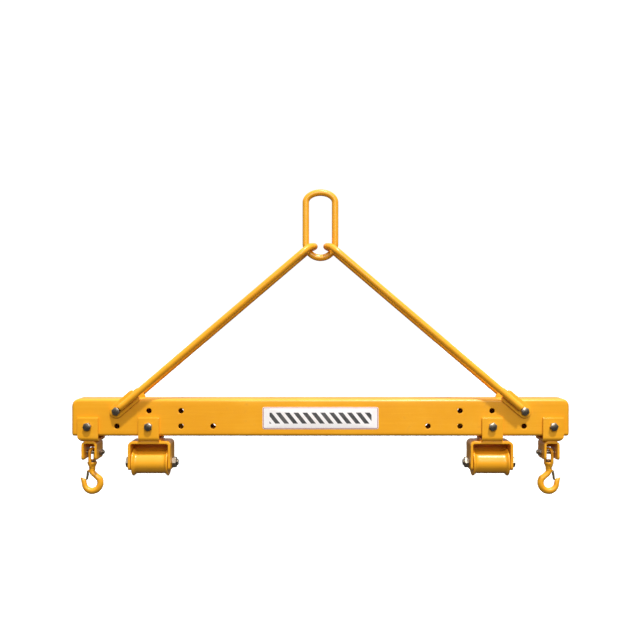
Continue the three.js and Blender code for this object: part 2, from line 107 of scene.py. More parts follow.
TOP_LIGHT = ((0.0, -0.4, 2.4), (0, 0, -0.6), 2.6)  # place, target and size
FRONT_LIGHT = ((0.5, -4.2, 1.2), (0.1, 0, -0.8), 2.2)
KEY_HEADING = (-0.36, 1.0, -2.28)  # which way the key light shines
SIDES = (("left", -1), ("right", 1))


# ---- Sizes and colours that a user would change ----


def length(name, description, default):
    """A length property in metres."""
    return bpy.props.FloatProperty(
        name=name, description=description, default=default, unit="LENGTH", precision=4
    )


def height(name, description, default):
    """A height above the beam's underside, in metres; below it is negative."""
    return bpy.props.FloatProperty(
        name=name, description=description, default=default, unit="LENGTH", subtype="DISTANCE"
    )


def degrees(name, description, default):
    """An angle property, kept in radians."""
    return bpy.props.FloatProperty(
        name=name, description=description, default=math.radians(default), subtype="ANGLE"
    )


def colour(name, description, default):
    """A colour property."""
    return bpy.props.FloatVectorProperty(
        name=name, description=description, default=default, subtype="COLOR", min=0, max=1
    )


class BeamSizes(bpy.types.PropertyGroup):
    """The box-section beam."""

    half_length: length("Half length", "From the middle to an end", 1.006)
    half_depth: length("Half depth", "From the middle plane to a face", 0.05)
    height: length("Height", "Of the section", 0.15)
    wall: length("Wall", "Thickness of the section's wall", 0.006)
    corner: length("Corner radius", "Of the section's four edges", 0.012)
    end_top: length("Top end radius", "Of an end's upper corner", 0.03)
    end_low: length("Low end radius", "Of an end's lower corner", 0.008)
    end_side: length("Side end radius", "Of an end's upright edges", 0.014)
    hole: length("Hole radius", "Of a bolt hole", 0.011)
    first_column: length("First hole", "From the middle to the first hole", 0.434)
    pitch: length("Hole pitch", "Between hole columns", 0.1293)
    end_column: length("End hole", "From the middle to the hook saddle's hole", 0.938)
    low_row: height("Low row", "Height of the lower row of holes", 0.04)
    top_row: height("Top row", "Height of the upper row of holes", 0.102)


class SaddleSizes(bpy.types.PropertyGroup):
    """The flat bars folded round the beam."""

    width: length("Width", "Along the beam", 0.084)
    wall: length("Thickness", "Of the flat bar", 0.01)
    top: height("Top", "Height of the straps' upper edge", 0.075)
    bottom: height("Bottom", "Height of the saddle's lower face", -0.022)
    bend: length("Bend radius", "Outside radius of the folds", 0.018)
    cut_corner: length("Outer corner", "Rounding of the hook saddle towards the beam's end", 0.025)


class ForkSizes(bpy.types.PropertyGroup):
    """The forks under the saddles."""

    depth: length("Depth", "Across the beam", 0.1)
    foot_corner: length("Foot corner", "Rounding of the legs' lower corners", 0.012)
    roller_width: length("Roller fork width", "Outside width", 0.172)
    roller_wall: length("Roller fork thickness", "Of the flat bar", 0.01)
    roller_bend: length("Roller fork bend", "Outside radius", 0.018)
    roller_foot: height("Roller fork foot", "Height of the legs' lower edge", -0.139)
    roller_axle: height("Roller axle", "Height of the roller's axle", -0.113)
    back_plate: length("Back plate", "Thickness of the plate between the legs, behind", 0.006)
    roller_back: height("Roller back plate", "Height of its lower edge", -0.076)
    hook_back: height("Hook back plate", "Height of its lower edge", -0.058)
    hook_centre: length("Hook axis", "From the middle to the hook's upright axis", 0.935)
    hook_width: length("Hook fork width", "Outside width", 0.062)
    hook_wall: length("Hook fork thickness", "Of the flat bar", 0.009)
    hook_bend: length("Hook fork bend", "Outside radius", 0.016)
    hook_foot: height("Hook fork foot", "Height of the legs' lower edge", -0.097)
    hook_axle: height("Hook bolt", "Height of the hook bolt", -0.072)


class BoltSizes(bpy.types.PropertyGroup):
    """One size of bolt and nut."""

    shank: length("Shank radius", "Of the bolt", 0.01)
    flats: length("Across flats", "Of head and nut", 0.03)
    head: length("Head height", "Of the bolt", 0.0125)
    nut: length("Nut height", "Of the nut", 0.016)
    pitch: length("Thread pitch", "Of the thread", 0.0025)
    past: length("Past the nut", "Length of the bolt's end", 0.006)


class RollerSizes(bpy.types.PropertyGroup):
    """The sling rollers."""

    half: length("Half length", "From the middle to an end", 0.074)
    drum: length("Drum radius", "Of the rolling face", 0.0455)
    drum_half: length("Drum half length", "Of the straight part", 0.055)
    flange: length("Flange radius", "Of the end flanges", 0.055)
    bore: length("Bore radius", "For the bush", 0.0175)
    bush_bore: length("Bush bore radius", "For the axle", 0.0138)


class ArmSizes(bpy.types.PropertyGroup):
    """The hairpin arms, their lugs and the master link."""

    bar: length("Bar radius", "Of the arms and the master link", 0.0135)
    half_gap: length("Half gap", "From the middle to an arm's end", 0.0247)
    crown_height: height("Crown height", "Height of an arm's end", 0.7695)
    crown_pitch: degrees("Crown pitch", "Slope of an arm's end", 14)
    crown_turn: degrees("Crown turn", "Bend between leg and end", 26)
    crown_run: length("Crown run", "From the bend's corner to the end", 0.02)
    knee: length("Knee radius", "Of that bend", 0.03)
    lug_radius: length("Lug radius", "Round the arm bolt", 0.027)
    lug_reach: length("Lug reach", "From the bolt to the lug's far end", 0.105)
    lug_thickness: length("Lug thickness", "Of the lug plate", 0.01)
    lug_corner: length("Lug corner", "Rounding of the far corners", 0.012)
    bar_start: length("Bar start", "From the bolt to the bar's end", 0.022)
    link_half: length("Link half width", "Of the master link's opening", 0.0465)
    link_arch: length("Link arch", "Height of the upper arch, along the bar's middle", 0.04)
    link_bottom: height("Link bottom", "Lower end of the opening", 0.737)
    link_top: height("Link top", "Upper end of the opening, the crane hook's seat", 0.977)


class HookSizes(bpy.types.PropertyGroup):
    """The swivel hooks, their bails and latches."""

    bail_bar: length("Bail bar radius", "Of the arch", 0.006)
    bail_half: length("Bail half width", "Of the arch", 0.0195)
    bail_arch: length("Arch height", "Above the hook bolt's axis", 0.0146)
    bail_shoulder: height("Bail shoulder", "Where the arch's legs turn in", -0.106)
    bail_foot: height("Bail foot", "Where the legs end in the boss", -0.1283)
    foot_half: length("Foot half width", "Of the legs in the boss", 0.013)
    boss_top: height("Boss top", "Of the bail's boss", -0.1123)
    boss_foot: height("Boss foot", "Of the bail's boss", -0.138)
    boss_radius: length("Boss radius", "At its top", 0.0195)
    boss_low_radius: length("Boss low radius", "At its foot", 0.013)
    boss_bore: length("Boss bore", "For the hook's stem", 0.0086)
    stem: length("Stem radius", "Of the hook's stem", 0.0075)
    stem_top: height("Stem top", "Of the hook's stem", -0.102)
    collar: length("Collar radius", "On the stem", 0.011)
    collar_top: height("Collar top", "Of the collar", -0.1045)
    bowl_x: length("Bowl centre", "From the hook's axis", 0.001)
    bowl_z: height("Bowl height", "Of the bowl's centre", -0.197)
    bowl: length("Bowl radius", "Inside the hook", 0.0215)
    back: length("Back radius", "Outside the hook", 0.0475)
    back_at_tip: length("Tip back radius", "Outside the hook at its tip", 0.042)
    half_depth: length("Half depth", "Of the forging", 0.012)
    tip_half_depth: length("Tip half depth", "Of the forging at its tip", 0.01)
    left_bail_turn: degrees("Left bail turn", "About the hook's axis", -16)
    right_bail_turn: degrees("Right bail turn", "About the hook's axis", 28)


class Finishes(bpy.types.PropertyGroup):
    """Base colours, linear."""

    paint: colour("Paint", "Yellow enamel", (0.88, 0.385, 0.014))
    paint_deep: colour("Deep paint", "Where the enamel lies thick", (0.80, 0.31, 0.008))
    paint_thin: colour("Thin paint", "Where the enamel is thin", (0.92, 0.45, 0.03))
    grime: colour("Grime", "Handling marks on the enamel", (0.30, 0.13, 0.02))
    zinc: colour("Zinc", "Plated fasteners", (0.62, 0.54, 0.43))
    zinc_dark: colour("Dull zinc", "Plating that has dulled", (0.13, 0.10, 0.065))
    bronze: colour("Bronze", "Roller bushes", (0.55, 0.36, 0.16))
    latch: colour("Latch", "Passivated sheet steel", (0.42, 0.30, 0.12))
    film: colour("Film", "The label's ground", (0.93, 0.90, 0.90))
    film_line: colour("Film line", "The label's border", (0.32, 0.02, 0.03))
    film_ink: colour("Film ink", "The label's stripes", (0.02, 0.02, 0.022))
    floor: colour("Floor", "The studio floor", (0.9, 0.9, 0.9))


class StageSettings(bpy.types.PropertyGroup):
    """The camera and the lights."""

    camera_distance: length("Camera distance", "In front of the middle plane", 3.35)
    camera_height: height("Camera height", "Above the beam's underside", 0.479)
    camera_side: length("Camera side", "To the right of the middle", -0.0101)
    lens: bpy.props.FloatProperty(name="Lens", description="Focal length in mm", default=46.28)
    floor_drop: length("Floor drop", "Of the floor below the hooks", 1.18)
    key: bpy.props.FloatProperty(
        name="Key light", description="From above, in front and to the right", default=3.05
    )
    key_spread: degrees("Key spread", "Apparent size of the key light", 4)
    top_power: bpy.props.FloatProperty(
        name="Top light", description="A wide light overhead", default=14, subtype="POWER"
    )
    front_power: bpy.props.FloatProperty(
        name="Front light", description="A wide fill from the front", default=104, subtype="POWER"
    )
    sky: bpy.props.FloatProperty(
        name="Sky", description="Strength of the surrounding light", default=0.58
    )


class SpreaderSettings(bpy.types.PropertyGroup):
    """All the sizes and colours."""

    beam: bpy.props.PointerProperty(type=BeamSizes)
    saddle: bpy.props.PointerProperty(type=SaddleSizes)
    fork: bpy.props.PointerProperty(type=ForkSizes)
    cross_bolt: bpy.props.PointerProperty(type=BoltSizes)
    hook_bolt: bpy.props.PointerProperty(type=BoltSizes)
    axle_bolt: bpy.props.PointerProperty(type=BoltSizes)
    roller: bpy.props.PointerProperty(type=RollerSizes)
    arm: bpy.props.PointerProperty(type=ArmSizes)
    hook: bpy.props.PointerProperty(type=HookSizes)
    finish: bpy.props.PointerProperty(type=Finishes)
    stage: bpy.props.PointerProperty(type=StageSettings)


def set_bolt(bolt, shank, flats, head, nut, pitch):
    """Gives a bolt size its measures."""
    bolt.shank, bolt.flats, bolt.head, bolt.nut, bolt.pitch = shank, flats, head, nut, pitch


# ---- Outlines and paths, in two dimensions ----


def arc(centre, radius, start, stop, count):
    """Points of an arc: centre + radius * (cos a, sin a), with a evenly spaced in degrees."""
    angle = np.radians(np.linspace(start, stop, count))
    return np.array(centre) + radius * np.column_stack([np.cos(angle), np.sin(angle)])


def rounded_rectangle(low, high, radii, inset=0.0, count=7):
    """A rectangle's outline, anticlockwise, each corner a quarter circle, drawn in by inset.

    radii are those of the lower left, lower right, upper right and upper left corners.
    """
    (x0, y0), (x1, y1) = np.array(low) + inset, np.array(high) - inset
    a, b, c, d = np.maximum(np.array(radii) - inset, 0.01 * MM)
    return np.concatenate([
        arc((x0 + a, y0 + a), a, 180, 270, count),
        arc((x1 - b, y0 + b), b, 270, 360, count),
        arc((x1 - c, y1 - c), c, 0, 90, count),
        arc((x0 + d, y1 - d), d, 90, 180, count),
    ])


def even_rectangle(half_width, half_height, radius, inset=0.0, count=5):
    """A centred rectangle with one corner radius, drawn in by inset."""
    size = (half_width, half_height)
    return rounded_rectangle([-s for s in size], size, [radius] * 4, inset, count)


def round_section(radius, inset=0.0, count=28):
    """A circle, drawn in by inset."""
    return arc((0, 0), radius - inset, 0, 360 - 360 / count, count)


def edge_rounding(edge, count=4):
    """Inset edge * (1 - sin a) and advance edge * (1 - cos a), with a from 0 to 90 degrees."""
    angle = np.radians(np.linspace(0, 90, count))
    return edge * (1 - np.sin(angle)), edge * (1 - np.cos(angle))


def even_steps(path, step):
    """The path, resampled at even distances no longer than step."""
    reach = np.concatenate([[0], np.cumsum(np.linalg.norm(np.diff(path, axis=0), axis=1))])
    at = np.linspace(0, reach[-1], max(2, math.ceil(reach[-1] / step) + 1))
    return np.column_stack([np.interp(at, reach, column) for column in path.T])


def through(controls, count):
    """A smooth run through control rows: at each row the slope is half the chord past it."""
    controls = np.array(controls, float)
    slope = np.gradient(controls, axis=0)
    at = np.linspace(0, len(controls) - 1 - 1e-9, count)
    row = at.astype(int)
    t = (at - row)[:, None]
    near, far = controls[row], controls[row + 1]
    return (
        near * (2 * t**3 - 3 * t**2 + 1) + slope[row] * (t**3 - 2 * t**2 + t)
        + far * (3 * t**2 - 2 * t**3) + slope[row + 1] * (t**3 - t**2)
    )


def folded(half_width, top, bottom, bend, wall):
    """Middle line of a flat bar folded into an upright U: down, round, across, round and up.

    half_width, bottom and bend are those of the outer face.
    """
    radius = bend - wall / 2
    side, low = half_width - wall / 2, bottom + wall / 2
    return np.concatenate([
        np.linspace((-side, top), (-side, low + radius), 14, endpoint=False),
        arc((-side + radius, low + radius), radius, 180, 270, 12),
        np.linspace((-side + radius, low), (side - radius, low), 12)[1:-1],
        arc((side - radius, low + radius), radius, 270, 360, 12),
        np.linspace((side, low + radius), (side, top), 15)[1:],
    ])


# ---- Surfaces: grids of points, rows x columns x 3 ----


def lathe(profile, count=64):
    """Turns a profile of (radius, z) rows about Z: x = r cos a, y = r sin a."""
    profile = np.array(profile, float)
    angle = np.linspace(0, 2 * np.pi, count, endpoint=False)
    radius, z = profile[:, :1], profile[:, 1:]
    return np.stack(
        [radius * np.cos(angle), radius * np.sin(angle), z + 0 * angle], axis=-1
    )


def slab(outline_at, thickness, edge):
    """A plate with rounded edges: its outline drawn in by edge * (1 - sin a) at a depth of
    edge * (1 - cos a) below each face. The plate lies in X and Y, centred on Z."""
    inset, advance = edge_rounding(edge)
    rows = [outline_at(i) for i in (*inset, *inset[::-1])]
    z = np.concatenate([advance - thickness / 2, thickness / 2 - advance[::-1]])
    return np.stack([np.column_stack([row, np.full(len(row), h)]) for row, h in zip(rows, z)])


def carried(path, across, section_at, edge=0.0, closed=False):
    """Carries a section along a path. A section point (u, v) lies at
    path + u * across + v * (tangent x across); the ends are drawn in by a rounding of edge."""
    path = np.array(path, float)
    if closed:
        tangent = np.roll(path, -1, axis=0) - np.roll(path, 1, axis=0)
    else:
        tangent = np.gradient(path, axis=0)
    tangent /= np.linalg.norm(tangent, axis=1, keepdims=True)
    across = np.broadcast_to(np.array(across, float), path.shape)
    up = np.cross(tangent, across)
    rows = np.arange(len(path))
    inset = np.zeros(len(path))
    if edge:
        draw, advance = edge_rounding(edge)
        rows = np.concatenate([[0] * 4, rows[1:-1], [len(path) - 1] * 4])
        inset = np.concatenate([draw, np.zeros(len(path) - 2), draw[::-1]])
        shift = np.concatenate([advance, np.zeros(len(path) - 2), -advance[::-1]])
        path, across, up = path[rows] + shift[:, None] * tangent[rows], across[rows], up[rows]
    sections = np.stack([section_at(i) for i in inset])
    return (
        path[:, None] + sections[..., :1] * across[:, None] + sections[..., 1:] * up[:, None]
    )


def bead(path, across, radius, seed):
    """A weld bead: a round section on a path whose radius swells and shrinks by a tenth at an
    even pitch of about four thirds of the radius, and falls to a third at the ends."""
    path = even_steps(np.array(path, float), radius / 4)
    at = np.linspace(0, 1, len(path))
    wave = np.sin(np.arange(len(path)) * 2 * np.pi / 5.3 + seed)
    size = radius * (1 + 0.1 * wave) * np.minimum(1, 12 * np.minimum(at, 1 - at) + 0.35)
    grid = carried(path, across, lambda inset: round_section(1.0, count=14))
    return path[:, None] + (grid - path[:, None]) * size[:, None, None]


def about_y(points):
    """Turns points from their own Z axis to +Y: (x, y, z) goes to (x, z, -y)."""
    return np.stack([points[..., 0], points[..., 2], -points[..., 1]], axis=-1)


def about_x(points):
    """Turns points from their own Z axis to +X: (x, y, z) goes to (z, x, y)."""
    return np.stack([points[..., 2], points[..., 0], points[..., 1]], axis=-1)


def turned_about_z(points, angle):
    """Turns points about Z by an angle in radians."""
    c, s = math.cos(angle), math.sin(angle)
    return points @ np.array([[c, s, 0], [-s, c, 0], [0, 0, 1]])


def in_frame(points, side=1, x=0.0, y=0.0, z=0.0):
    """Moves points by (x, y, z), turns them half round about Z for the left end, and lowers
    heights above the beam's underside to the model's frame."""
    moved = points + np.array([x, y, z])
    return moved * np.array([side, side, 1]) + np.array([0, 0, UNDERSIDE])


# ---- Meshes ----


class Skin:
    """Collects grids of points and the faces between them for one piece."""

    def __init__(self):
        self.points, self.faces, self.count = [], [], 0

    def add_points(self, points):
        """Adds points and returns their numbers, in the same arrangement."""
        numbers = np.arange(points[..., 0].size).reshape(points.shape[:-1]) + self.count
        self.points.append(points.reshape(-1, 3))
        self.count += numbers.size
        return numbers

    def add_faces(self, numbers, keep=None):
        """Adds the quads between neighbouring rows and columns of point numbers."""
        quads = np.stack(
            [numbers[:-1, :-1], numbers[:-1, 1:], numbers[1:, 1:], numbers[1:, :-1]], axis=-1
        )
        self.faces += (quads if keep is None else quads[keep]).reshape(-1, 4).tolist()

    def add_cap(self, ring, centre):
        """Closes a ring of point numbers to one point in its middle."""
        pole = self.add_points(np.array([centre]))[0]
        pairs = np.column_stack([ring, np.roll(ring, -1)])
        self.faces += [[a, b, pole] for a, b in pairs.tolist()]

    def add(self, grid, closed=False):
        """Adds a grid whose columns close on themselves. Its rows do too if it is closed;
        otherwise the first and the last row are capped."""
        numbers = self.add_points(grid)
        looped = np.column_stack([numbers, numbers[:, :1]])
        if closed:
            looped = np.vstack([looped, looped[:1]])
        self.add_faces(looped)
        if not closed:
            self.add_cap(numbers[0], grid[0].mean(axis=0))
            self.add_cap(numbers[-1], grid[-1].mean(axis=0))
        return self

    def piece(self, name, body, slot, nodes=(), sharp=38):
        """Makes the mesh object, with its faces outwards, on its body and with its finish."""
        mesh = bpy.data.meshes.new(name)
        mesh.from_pydata(np.concatenate(self.points).tolist(), [], self.faces)
        shape = bmesh.new()
        shape.from_mesh(mesh)
        bmesh.ops.remove_doubles(shape, verts=shape.verts, dist=0.5e-6)
        bmesh.ops.recalc_face_normals(shape, faces=shape.faces)
        shape.to_mesh(mesh)
        shape.free()
        mesh.shade_smooth()
        mesh.set_sharp_from_angle(angle=math.radians(sharp))
        made = bpy.data.objects.new(name, mesh)
        bpy.context.scene.collection.objects.link(made)
        mesh.materials.append(finish(slot))
        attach(made, body)
        if nodes:
            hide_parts(*nodes)
        return made


# ---- Finishes ----


def new_material(name):
    """An empty node material: its tree and its Principled shader."""
    material = bpy.data.materials.new(name)
    material.use_nodes = True
    tree = material.node_tree
    return material, tree, tree.nodes["Principled BSDF"]


def node(tree, kind, inputs=None, **settings):
    """Adds a node. Each input is a value, or an output socket to be linked."""
    made = tree.nodes.new(kind)
    for key, value in settings.items():
        setattr(made, key, value)
    for key, value in (inputs or {}).items():
        if isinstance(value, bpy.types.NodeSocket):
            tree.links.new(value, made.inputs[key])
        else:
            made.inputs[key].default_value = value
    return made


def calc(tree, operation, *values):
    """A Math node's result."""
    return node(tree, "ShaderNodeMath", dict(enumerate(values)), operation=operation).outputs[0]


def spread(tree, value, low, high, out_low=0.0, out_high=1.0):
    """Maps a value from low..high to out_low..out_high, held at both ends."""
    inputs = {
        "Value": value, "From Min": low, "From Max": high, "To Min": out_low, "To Max": out_high,
    }
    return node(tree, "ShaderNodeMapRange", inputs, clamp=True).outputs["Result"]


def blended(tree, share, first, second):
    """A mix of two colours, each a value or a socket."""
    made = tree.nodes.new("ShaderNodeMix")
    made.data_type = "RGBA"
    for socket, value in ((0, share), (6, first), (7, second)):
        if isinstance(value, bpy.types.NodeSocket):
            tree.links.new(value, made.inputs[socket])
        else:
            made.inputs[socket].default_value = value
    return made.outputs[2]


def noise(tree, where, scale, detail=3.0, roughness=0.5):
    """A Noise texture's value on object coordinates; scale is in waves per metre."""
    inputs = {"Vector": where, "Scale": scale, "Detail": detail, "Roughness": roughness}
    return node(tree, "ShaderNodeTexNoise", inputs).outputs["Fac"]


def solid(rgb):
    """A colour with full alpha."""
    return (*rgb, 1.0)


def bumped(tree, layers):
    """Stacks Bump nodes for (height, distance in metres, strength) layers."""
    normal = None
    for height_socket, distance, strength in layers:
        inputs = {"Height": height_socket, "Distance": distance, "Strength": strength}
        if normal is not None:
            inputs["Normal"] = normal
        normal = node(tree, "ShaderNodeBump", inputs).outputs["Normal"]
    return normal


def enamel(looks):
    """Yellow enamel: cloudy thick and thin coats, orange peel, brush runs and handling marks."""
    material, tree, shader = new_material("yellow_enamel")
    where = node(tree, "ShaderNodeTexCoord").outputs["Object"]
    clouds = noise(tree, where, 5.0, 4.0, 0.55)
    mottling = noise(tree, where, 38.0, 5.0, 0.6)
    peel = noise(tree, where, 620.0, 2.0)
    waves = noise(tree, where, 60.0, 2.0)
    drawn = node(tree, "ShaderNodeMapping", {"Vector": where, "Scale": (6.0, 6.0, 150.0)})
    runs = noise(tree, drawn.outputs["Vector"], 1.0, 4.0, 0.6)
    thickness = calc(tree, "ADD", calc(tree, "MULTIPLY", clouds, 0.6),
                     calc(tree, "MULTIPLY", runs, 0.4))
    deep = spread(tree, thickness, 0.52, 0.30, 0.0, 0.55)
    thin = spread(tree, thickness, 0.50, 0.70, 0.0, 0.60)
    coat = blended(tree, deep, solid(looks.paint), solid(looks.paint_deep))
    coat = blended(tree, thin, coat, solid(looks.paint_thin))
    marks = calc(tree, "MULTIPLY", spread(tree, mottling, 0.60, 0.78, 0.0, 0.35),
                 spread(tree, clouds, 0.42, 0.62, 0.0, 1.0))
    scuffs = node(tree, "ShaderNodeTexVoronoi", {"Vector": where, "Scale": 190.0})
    specks = calc(tree, "MULTIPLY", spread(tree, scuffs.outputs["Distance"], 0.10, 0.05, 0.0, 0.5),
                  spread(tree, mottling, 0.56, 0.66, 0.0, 1.0))
    dirt = calc(tree, "MAXIMUM", marks, specks)
    tree.links.new(blended(tree, dirt, coat, solid(looks.grime)), shader.inputs["Base Color"])
    tree.links.new(spread(tree, calc(tree, "ADD", mottling, dirt), 0.3, 1.0, 0.30, 0.52),
                   shader.inputs["Roughness"])
    shader.inputs["Specular IOR Level"].default_value = 0.35
    shader.inputs["Coat Weight"].default_value = 0.25
    shader.inputs["Coat Roughness"].default_value = 0.2
    normal = bumped(tree, [
        (waves, 0.4 * MM, 0.12), (peel, 0.06 * MM, 0.14), (specks, 0.1 * MM, 0.3),
    ])
    tree.links.new(normal, shader.inputs["Normal"])
    return material


def zinc_plate(looks):
    """Zinc plate: dull patches, fine brushing and a sparkle of crystals."""
    material, tree, shader = new_material("zinc_plate")
    where = node(tree, "ShaderNodeTexCoord").outputs["Object"]
    patches = noise(tree, where, 90.0, 5.0, 0.65)
    crystals = node(tree, "ShaderNodeTexVoronoi", {"Vector": where, "Scale": 900.0})
    drawn = node(tree, "ShaderNodeMapping", {"Vector": where, "Scale": (900.0, 60.0, 900.0)})
    brushed = noise(tree, drawn.outputs["Vector"], 1.0, 3.0)
    dull = spread(tree, patches, 0.38, 0.66, 0.0, 0.85)
    tree.links.new(blended(tree, dull, solid(looks.zinc), solid(looks.zinc_dark)),
                   shader.inputs["Base Color"])
    shader.inputs["Metallic"].default_value = 1.0
    rough = calc(tree, "ADD", calc(tree, "MULTIPLY", patches, 0.35),
                 calc(tree, "MULTIPLY", crystals.outputs["Distance"], 0.15))
    tree.links.new(spread(tree, rough, 0.1, 0.4, 0.16, 0.40), shader.inputs["Roughness"])
    normal = bumped(tree, [(brushed, 0.02 * MM, 0.35), (patches, 0.1 * MM, 0.15)])
    tree.links.new(normal, shader.inputs["Normal"])
    return material


def turned_bronze(looks):
    """Turned bearing bronze: fine rings along the axle and a few stains."""
    material, tree, shader = new_material("turned_bronze")
    where = node(tree, "ShaderNodeTexCoord").outputs["Object"]
    drawn = node(tree, "ShaderNodeMapping", {"Vector": where, "Scale": (2400.0, 8.0, 8.0)})
    rings = noise(tree, drawn.outputs["Vector"], 1.0, 2.0)
    stains = noise(tree, where, 120.0, 4.0, 0.6)
    dark = solid([0.45 * c for c in looks.bronze])
    tree.links.new(blended(tree, spread(tree, stains, 0.45, 0.7), solid(looks.bronze), dark),
                   shader.inputs["Base Color"])
    shader.inputs["Metallic"].default_value = 1.0
    tree.links.new(spread(tree, stains, 0.3, 0.7, 0.28, 0.5), shader.inputs["Roughness"])
    tree.links.new(bumped(tree, [(rings, 0.03 * MM, 0.4)]), shader.inputs["Normal"])
    return material


def passivated_sheet(looks):
    """Yellow passivated sheet steel: cloudy gold and grey, with drawn lines from the press."""
    material, tree, shader = new_material("passivated_sheet")
    where = node(tree, "ShaderNodeTexCoord").outputs["Object"]
    clouds = noise(tree, where, 70.0, 5.0, 0.6)
    drawn = node(tree, "ShaderNodeMapping", {"Vector": where, "Scale": (1200.0, 1200.0, 60.0)})
    lines = noise(tree, drawn.outputs["Vector"], 1.0, 3.0)
    grey = solid([0.55 * looks.latch[0], 0.65 * looks.latch[1], looks.latch[2]])
    tree.links.new(blended(tree, spread(tree, clouds, 0.4, 0.65), solid(looks.latch), grey),
                   shader.inputs["Base Color"])
    shader.inputs["Metallic"].default_value = 0.85
    tree.links.new(spread(tree, clouds, 0.3, 0.7, 0.34, 0.55), shader.inputs["Roughness"])
    tree.links.new(bumped(tree, [(lines, 0.03 * MM, 0.3)]), shader.inputs["Normal"])
    return material


def printed_film(looks):
    """A printed film: a thin border line inside the rounded edge, and a band of slanted stripes.

    The distance to the rounded edge is |max(|p| - (half - r), 0)| - r, with p from the middle.
    """
    material, tree, shader = new_material("printed_film")
    low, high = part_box("side_label")
    middle, half = (low + high) / 2, (high - low) / 2
    radius = LABEL_CORNER
    where = node(tree, "ShaderNodeTexCoord").outputs["Object"]
    axes = node(tree, "ShaderNodeSeparateXYZ", {0: where}).outputs
    x = calc(tree, "SUBTRACT", axes["X"], middle.x)
    z = calc(tree, "SUBTRACT", axes["Z"], middle.z)
    over_x = calc(tree, "MAXIMUM", calc(tree, "SUBTRACT", calc(tree, "ABSOLUTE", x),
                                        half.x - radius), 0.0)
    over_z = calc(tree, "MAXIMUM", calc(tree, "SUBTRACT", calc(tree, "ABSOLUTE", z),
                                        half.z - radius), 0.0)
    reach = calc(tree, "SQRT", calc(tree, "ADD", calc(tree, "MULTIPLY", over_x, over_x),
                                    calc(tree, "MULTIPLY", over_z, over_z)))
    inside = calc(tree, "SUBTRACT", radius, reach)
    straight = calc(tree, "MINIMUM", calc(tree, "SUBTRACT", half.x, calc(tree, "ABSOLUTE", x)),
                    calc(tree, "SUBTRACT", half.z, calc(tree, "ABSOLUTE", z)))
    depth = calc(tree, "MINIMUM", inside, straight)
    line = calc(tree, "COMPARE", depth, BORDER_IN, BORDER_HALF)
    slant = calc(tree, "ADD", x, calc(tree, "MULTIPLY", z, STRIPE_SLANT))
    share = calc(tree, "FRACT", calc(tree, "DIVIDE", slant, STRIPE_PITCH))
    stripe = calc(tree, "GREATER_THAN", share, STRIPE_GAP)
    band = calc(tree, "MULTIPLY",
                calc(tree, "LESS_THAN", calc(tree, "ABSOLUTE", z), BAND_HEIGHT * half.z),
                calc(tree, "LESS_THAN", calc(tree, "ABSOLUTE", x), BAND_WIDTH * half.x))
    ink = calc(tree, "MULTIPLY", stripe, band)
    fading = noise(tree, where, 45.0, 5.0, 0.6)
    ground = blended(tree, spread(tree, fading, 0.4, 0.8, 0.0, 0.12), solid(looks.film),
                     solid(looks.paint))
    inked = blended(tree, calc(tree, "MULTIPLY", ink, spread(tree, fading, 0.2, 0.8, 1.0, 0.86)),
                    ground, solid(looks.film_ink))
    tree.links.new(blended(tree, line, inked, solid(looks.film_line)), shader.inputs["Base Color"])
    tree.links.new(spread(tree, fading, 0.3, 0.7, 0.28, 0.42), shader.inputs["Roughness"])
    ripple = noise(tree, where, 30.0, 2.0)
    tree.links.new(bumped(tree, [(ripple, 0.3 * MM, 0.1), (ink, 0.02 * MM, 0.3)]),
                   shader.inputs["Normal"])
    return material


MAKERS = {
    "yellow_paint": enamel,
    "zinc_plate": zinc_plate,
    "bronze_bush": turned_bronze,
    "latch_sheet": passivated_sheet,
    "label_film": printed_film,
}
MADE = {}


def finish(slot):
    """The material of a slot, made the first time that it is asked for."""
    if slot not in MADE:
        MADE[slot] = MAKERS[slot](bpy.context.scene.spreader.finish)
    return MADE[slot]


def refinish(name, slot, edge=0.0):
    """Keeps a CAD node: welds its loose triangles, rounds its edges and gives it a finish."""
    kept = frame["nodes"][name]
    kept.data.materials.clear()
    kept.data.materials.append(finish(slot))
    if edge:
        weld = kept.modifiers.new("Weld", "WELD")
        weld.merge_threshold = 0.005 * MM
        rounding = kept.modifiers.new("Edges", "BEVEL")
        rounding.width = edge
        rounding.segments = 3
        rounding.limit_method = "ANGLE"
        rounding.angle_limit = math.radians(40)


# ---- Beam ----

HOLE_STEPS = 8  # grid steps along each side of the square round a hole


def beam_section(beam, inset):
    """Section of the beam as (y, z) rows: up the front, over the top, down the back and under.

    The faces carry the lines of the squares round the holes, so every inset has equal rows.
    """
    half, top = beam.half_depth - inset, beam.height - inset
    corner = beam.corner - inset
    edge = HOLE_SQUARE * beam.hole
    rows = [row + np.linspace(-edge, edge, HOLE_STEPS + 1) for row in (beam.low_row, beam.top_row)]
    face = np.concatenate([[beam.corner], rows[0], rows[1], [beam.height - beam.corner]])
    up = np.column_stack([np.full(len(face), -half), face])
    down = np.column_stack([np.full(len(face), half), face[::-1]])
    inner, low = half - corner, inset + corner
    return np.concatenate([
        up,
        arc((-inner, top - corner), corner, 180, 90, 9),
        arc((inner, top - corner), corner, 90, 0, 9),
        down,
        arc((inner, low), corner, 0, -90, 9),
        arc((-inner, low), corner, 270, 180, 9),
    ])


def beam_stations(beam, holes):
    """Places along X: the lines of the squares round the holes, and rings that close in on the
    ends as end - radius * (1 - sin a)."""
    edge = HOLE_SQUARE * beam.hole
    columns = sorted({x for x, _ in holes})
    middle = np.concatenate([x + np.linspace(-edge, edge, HOLE_STEPS + 1) for x in columns])
    angle = np.radians(np.linspace(0, 90, 19))
    end = beam.half_length - beam.end_top * (1 - np.sin(angle))
    return np.concatenate([-end[::-1], middle, end])


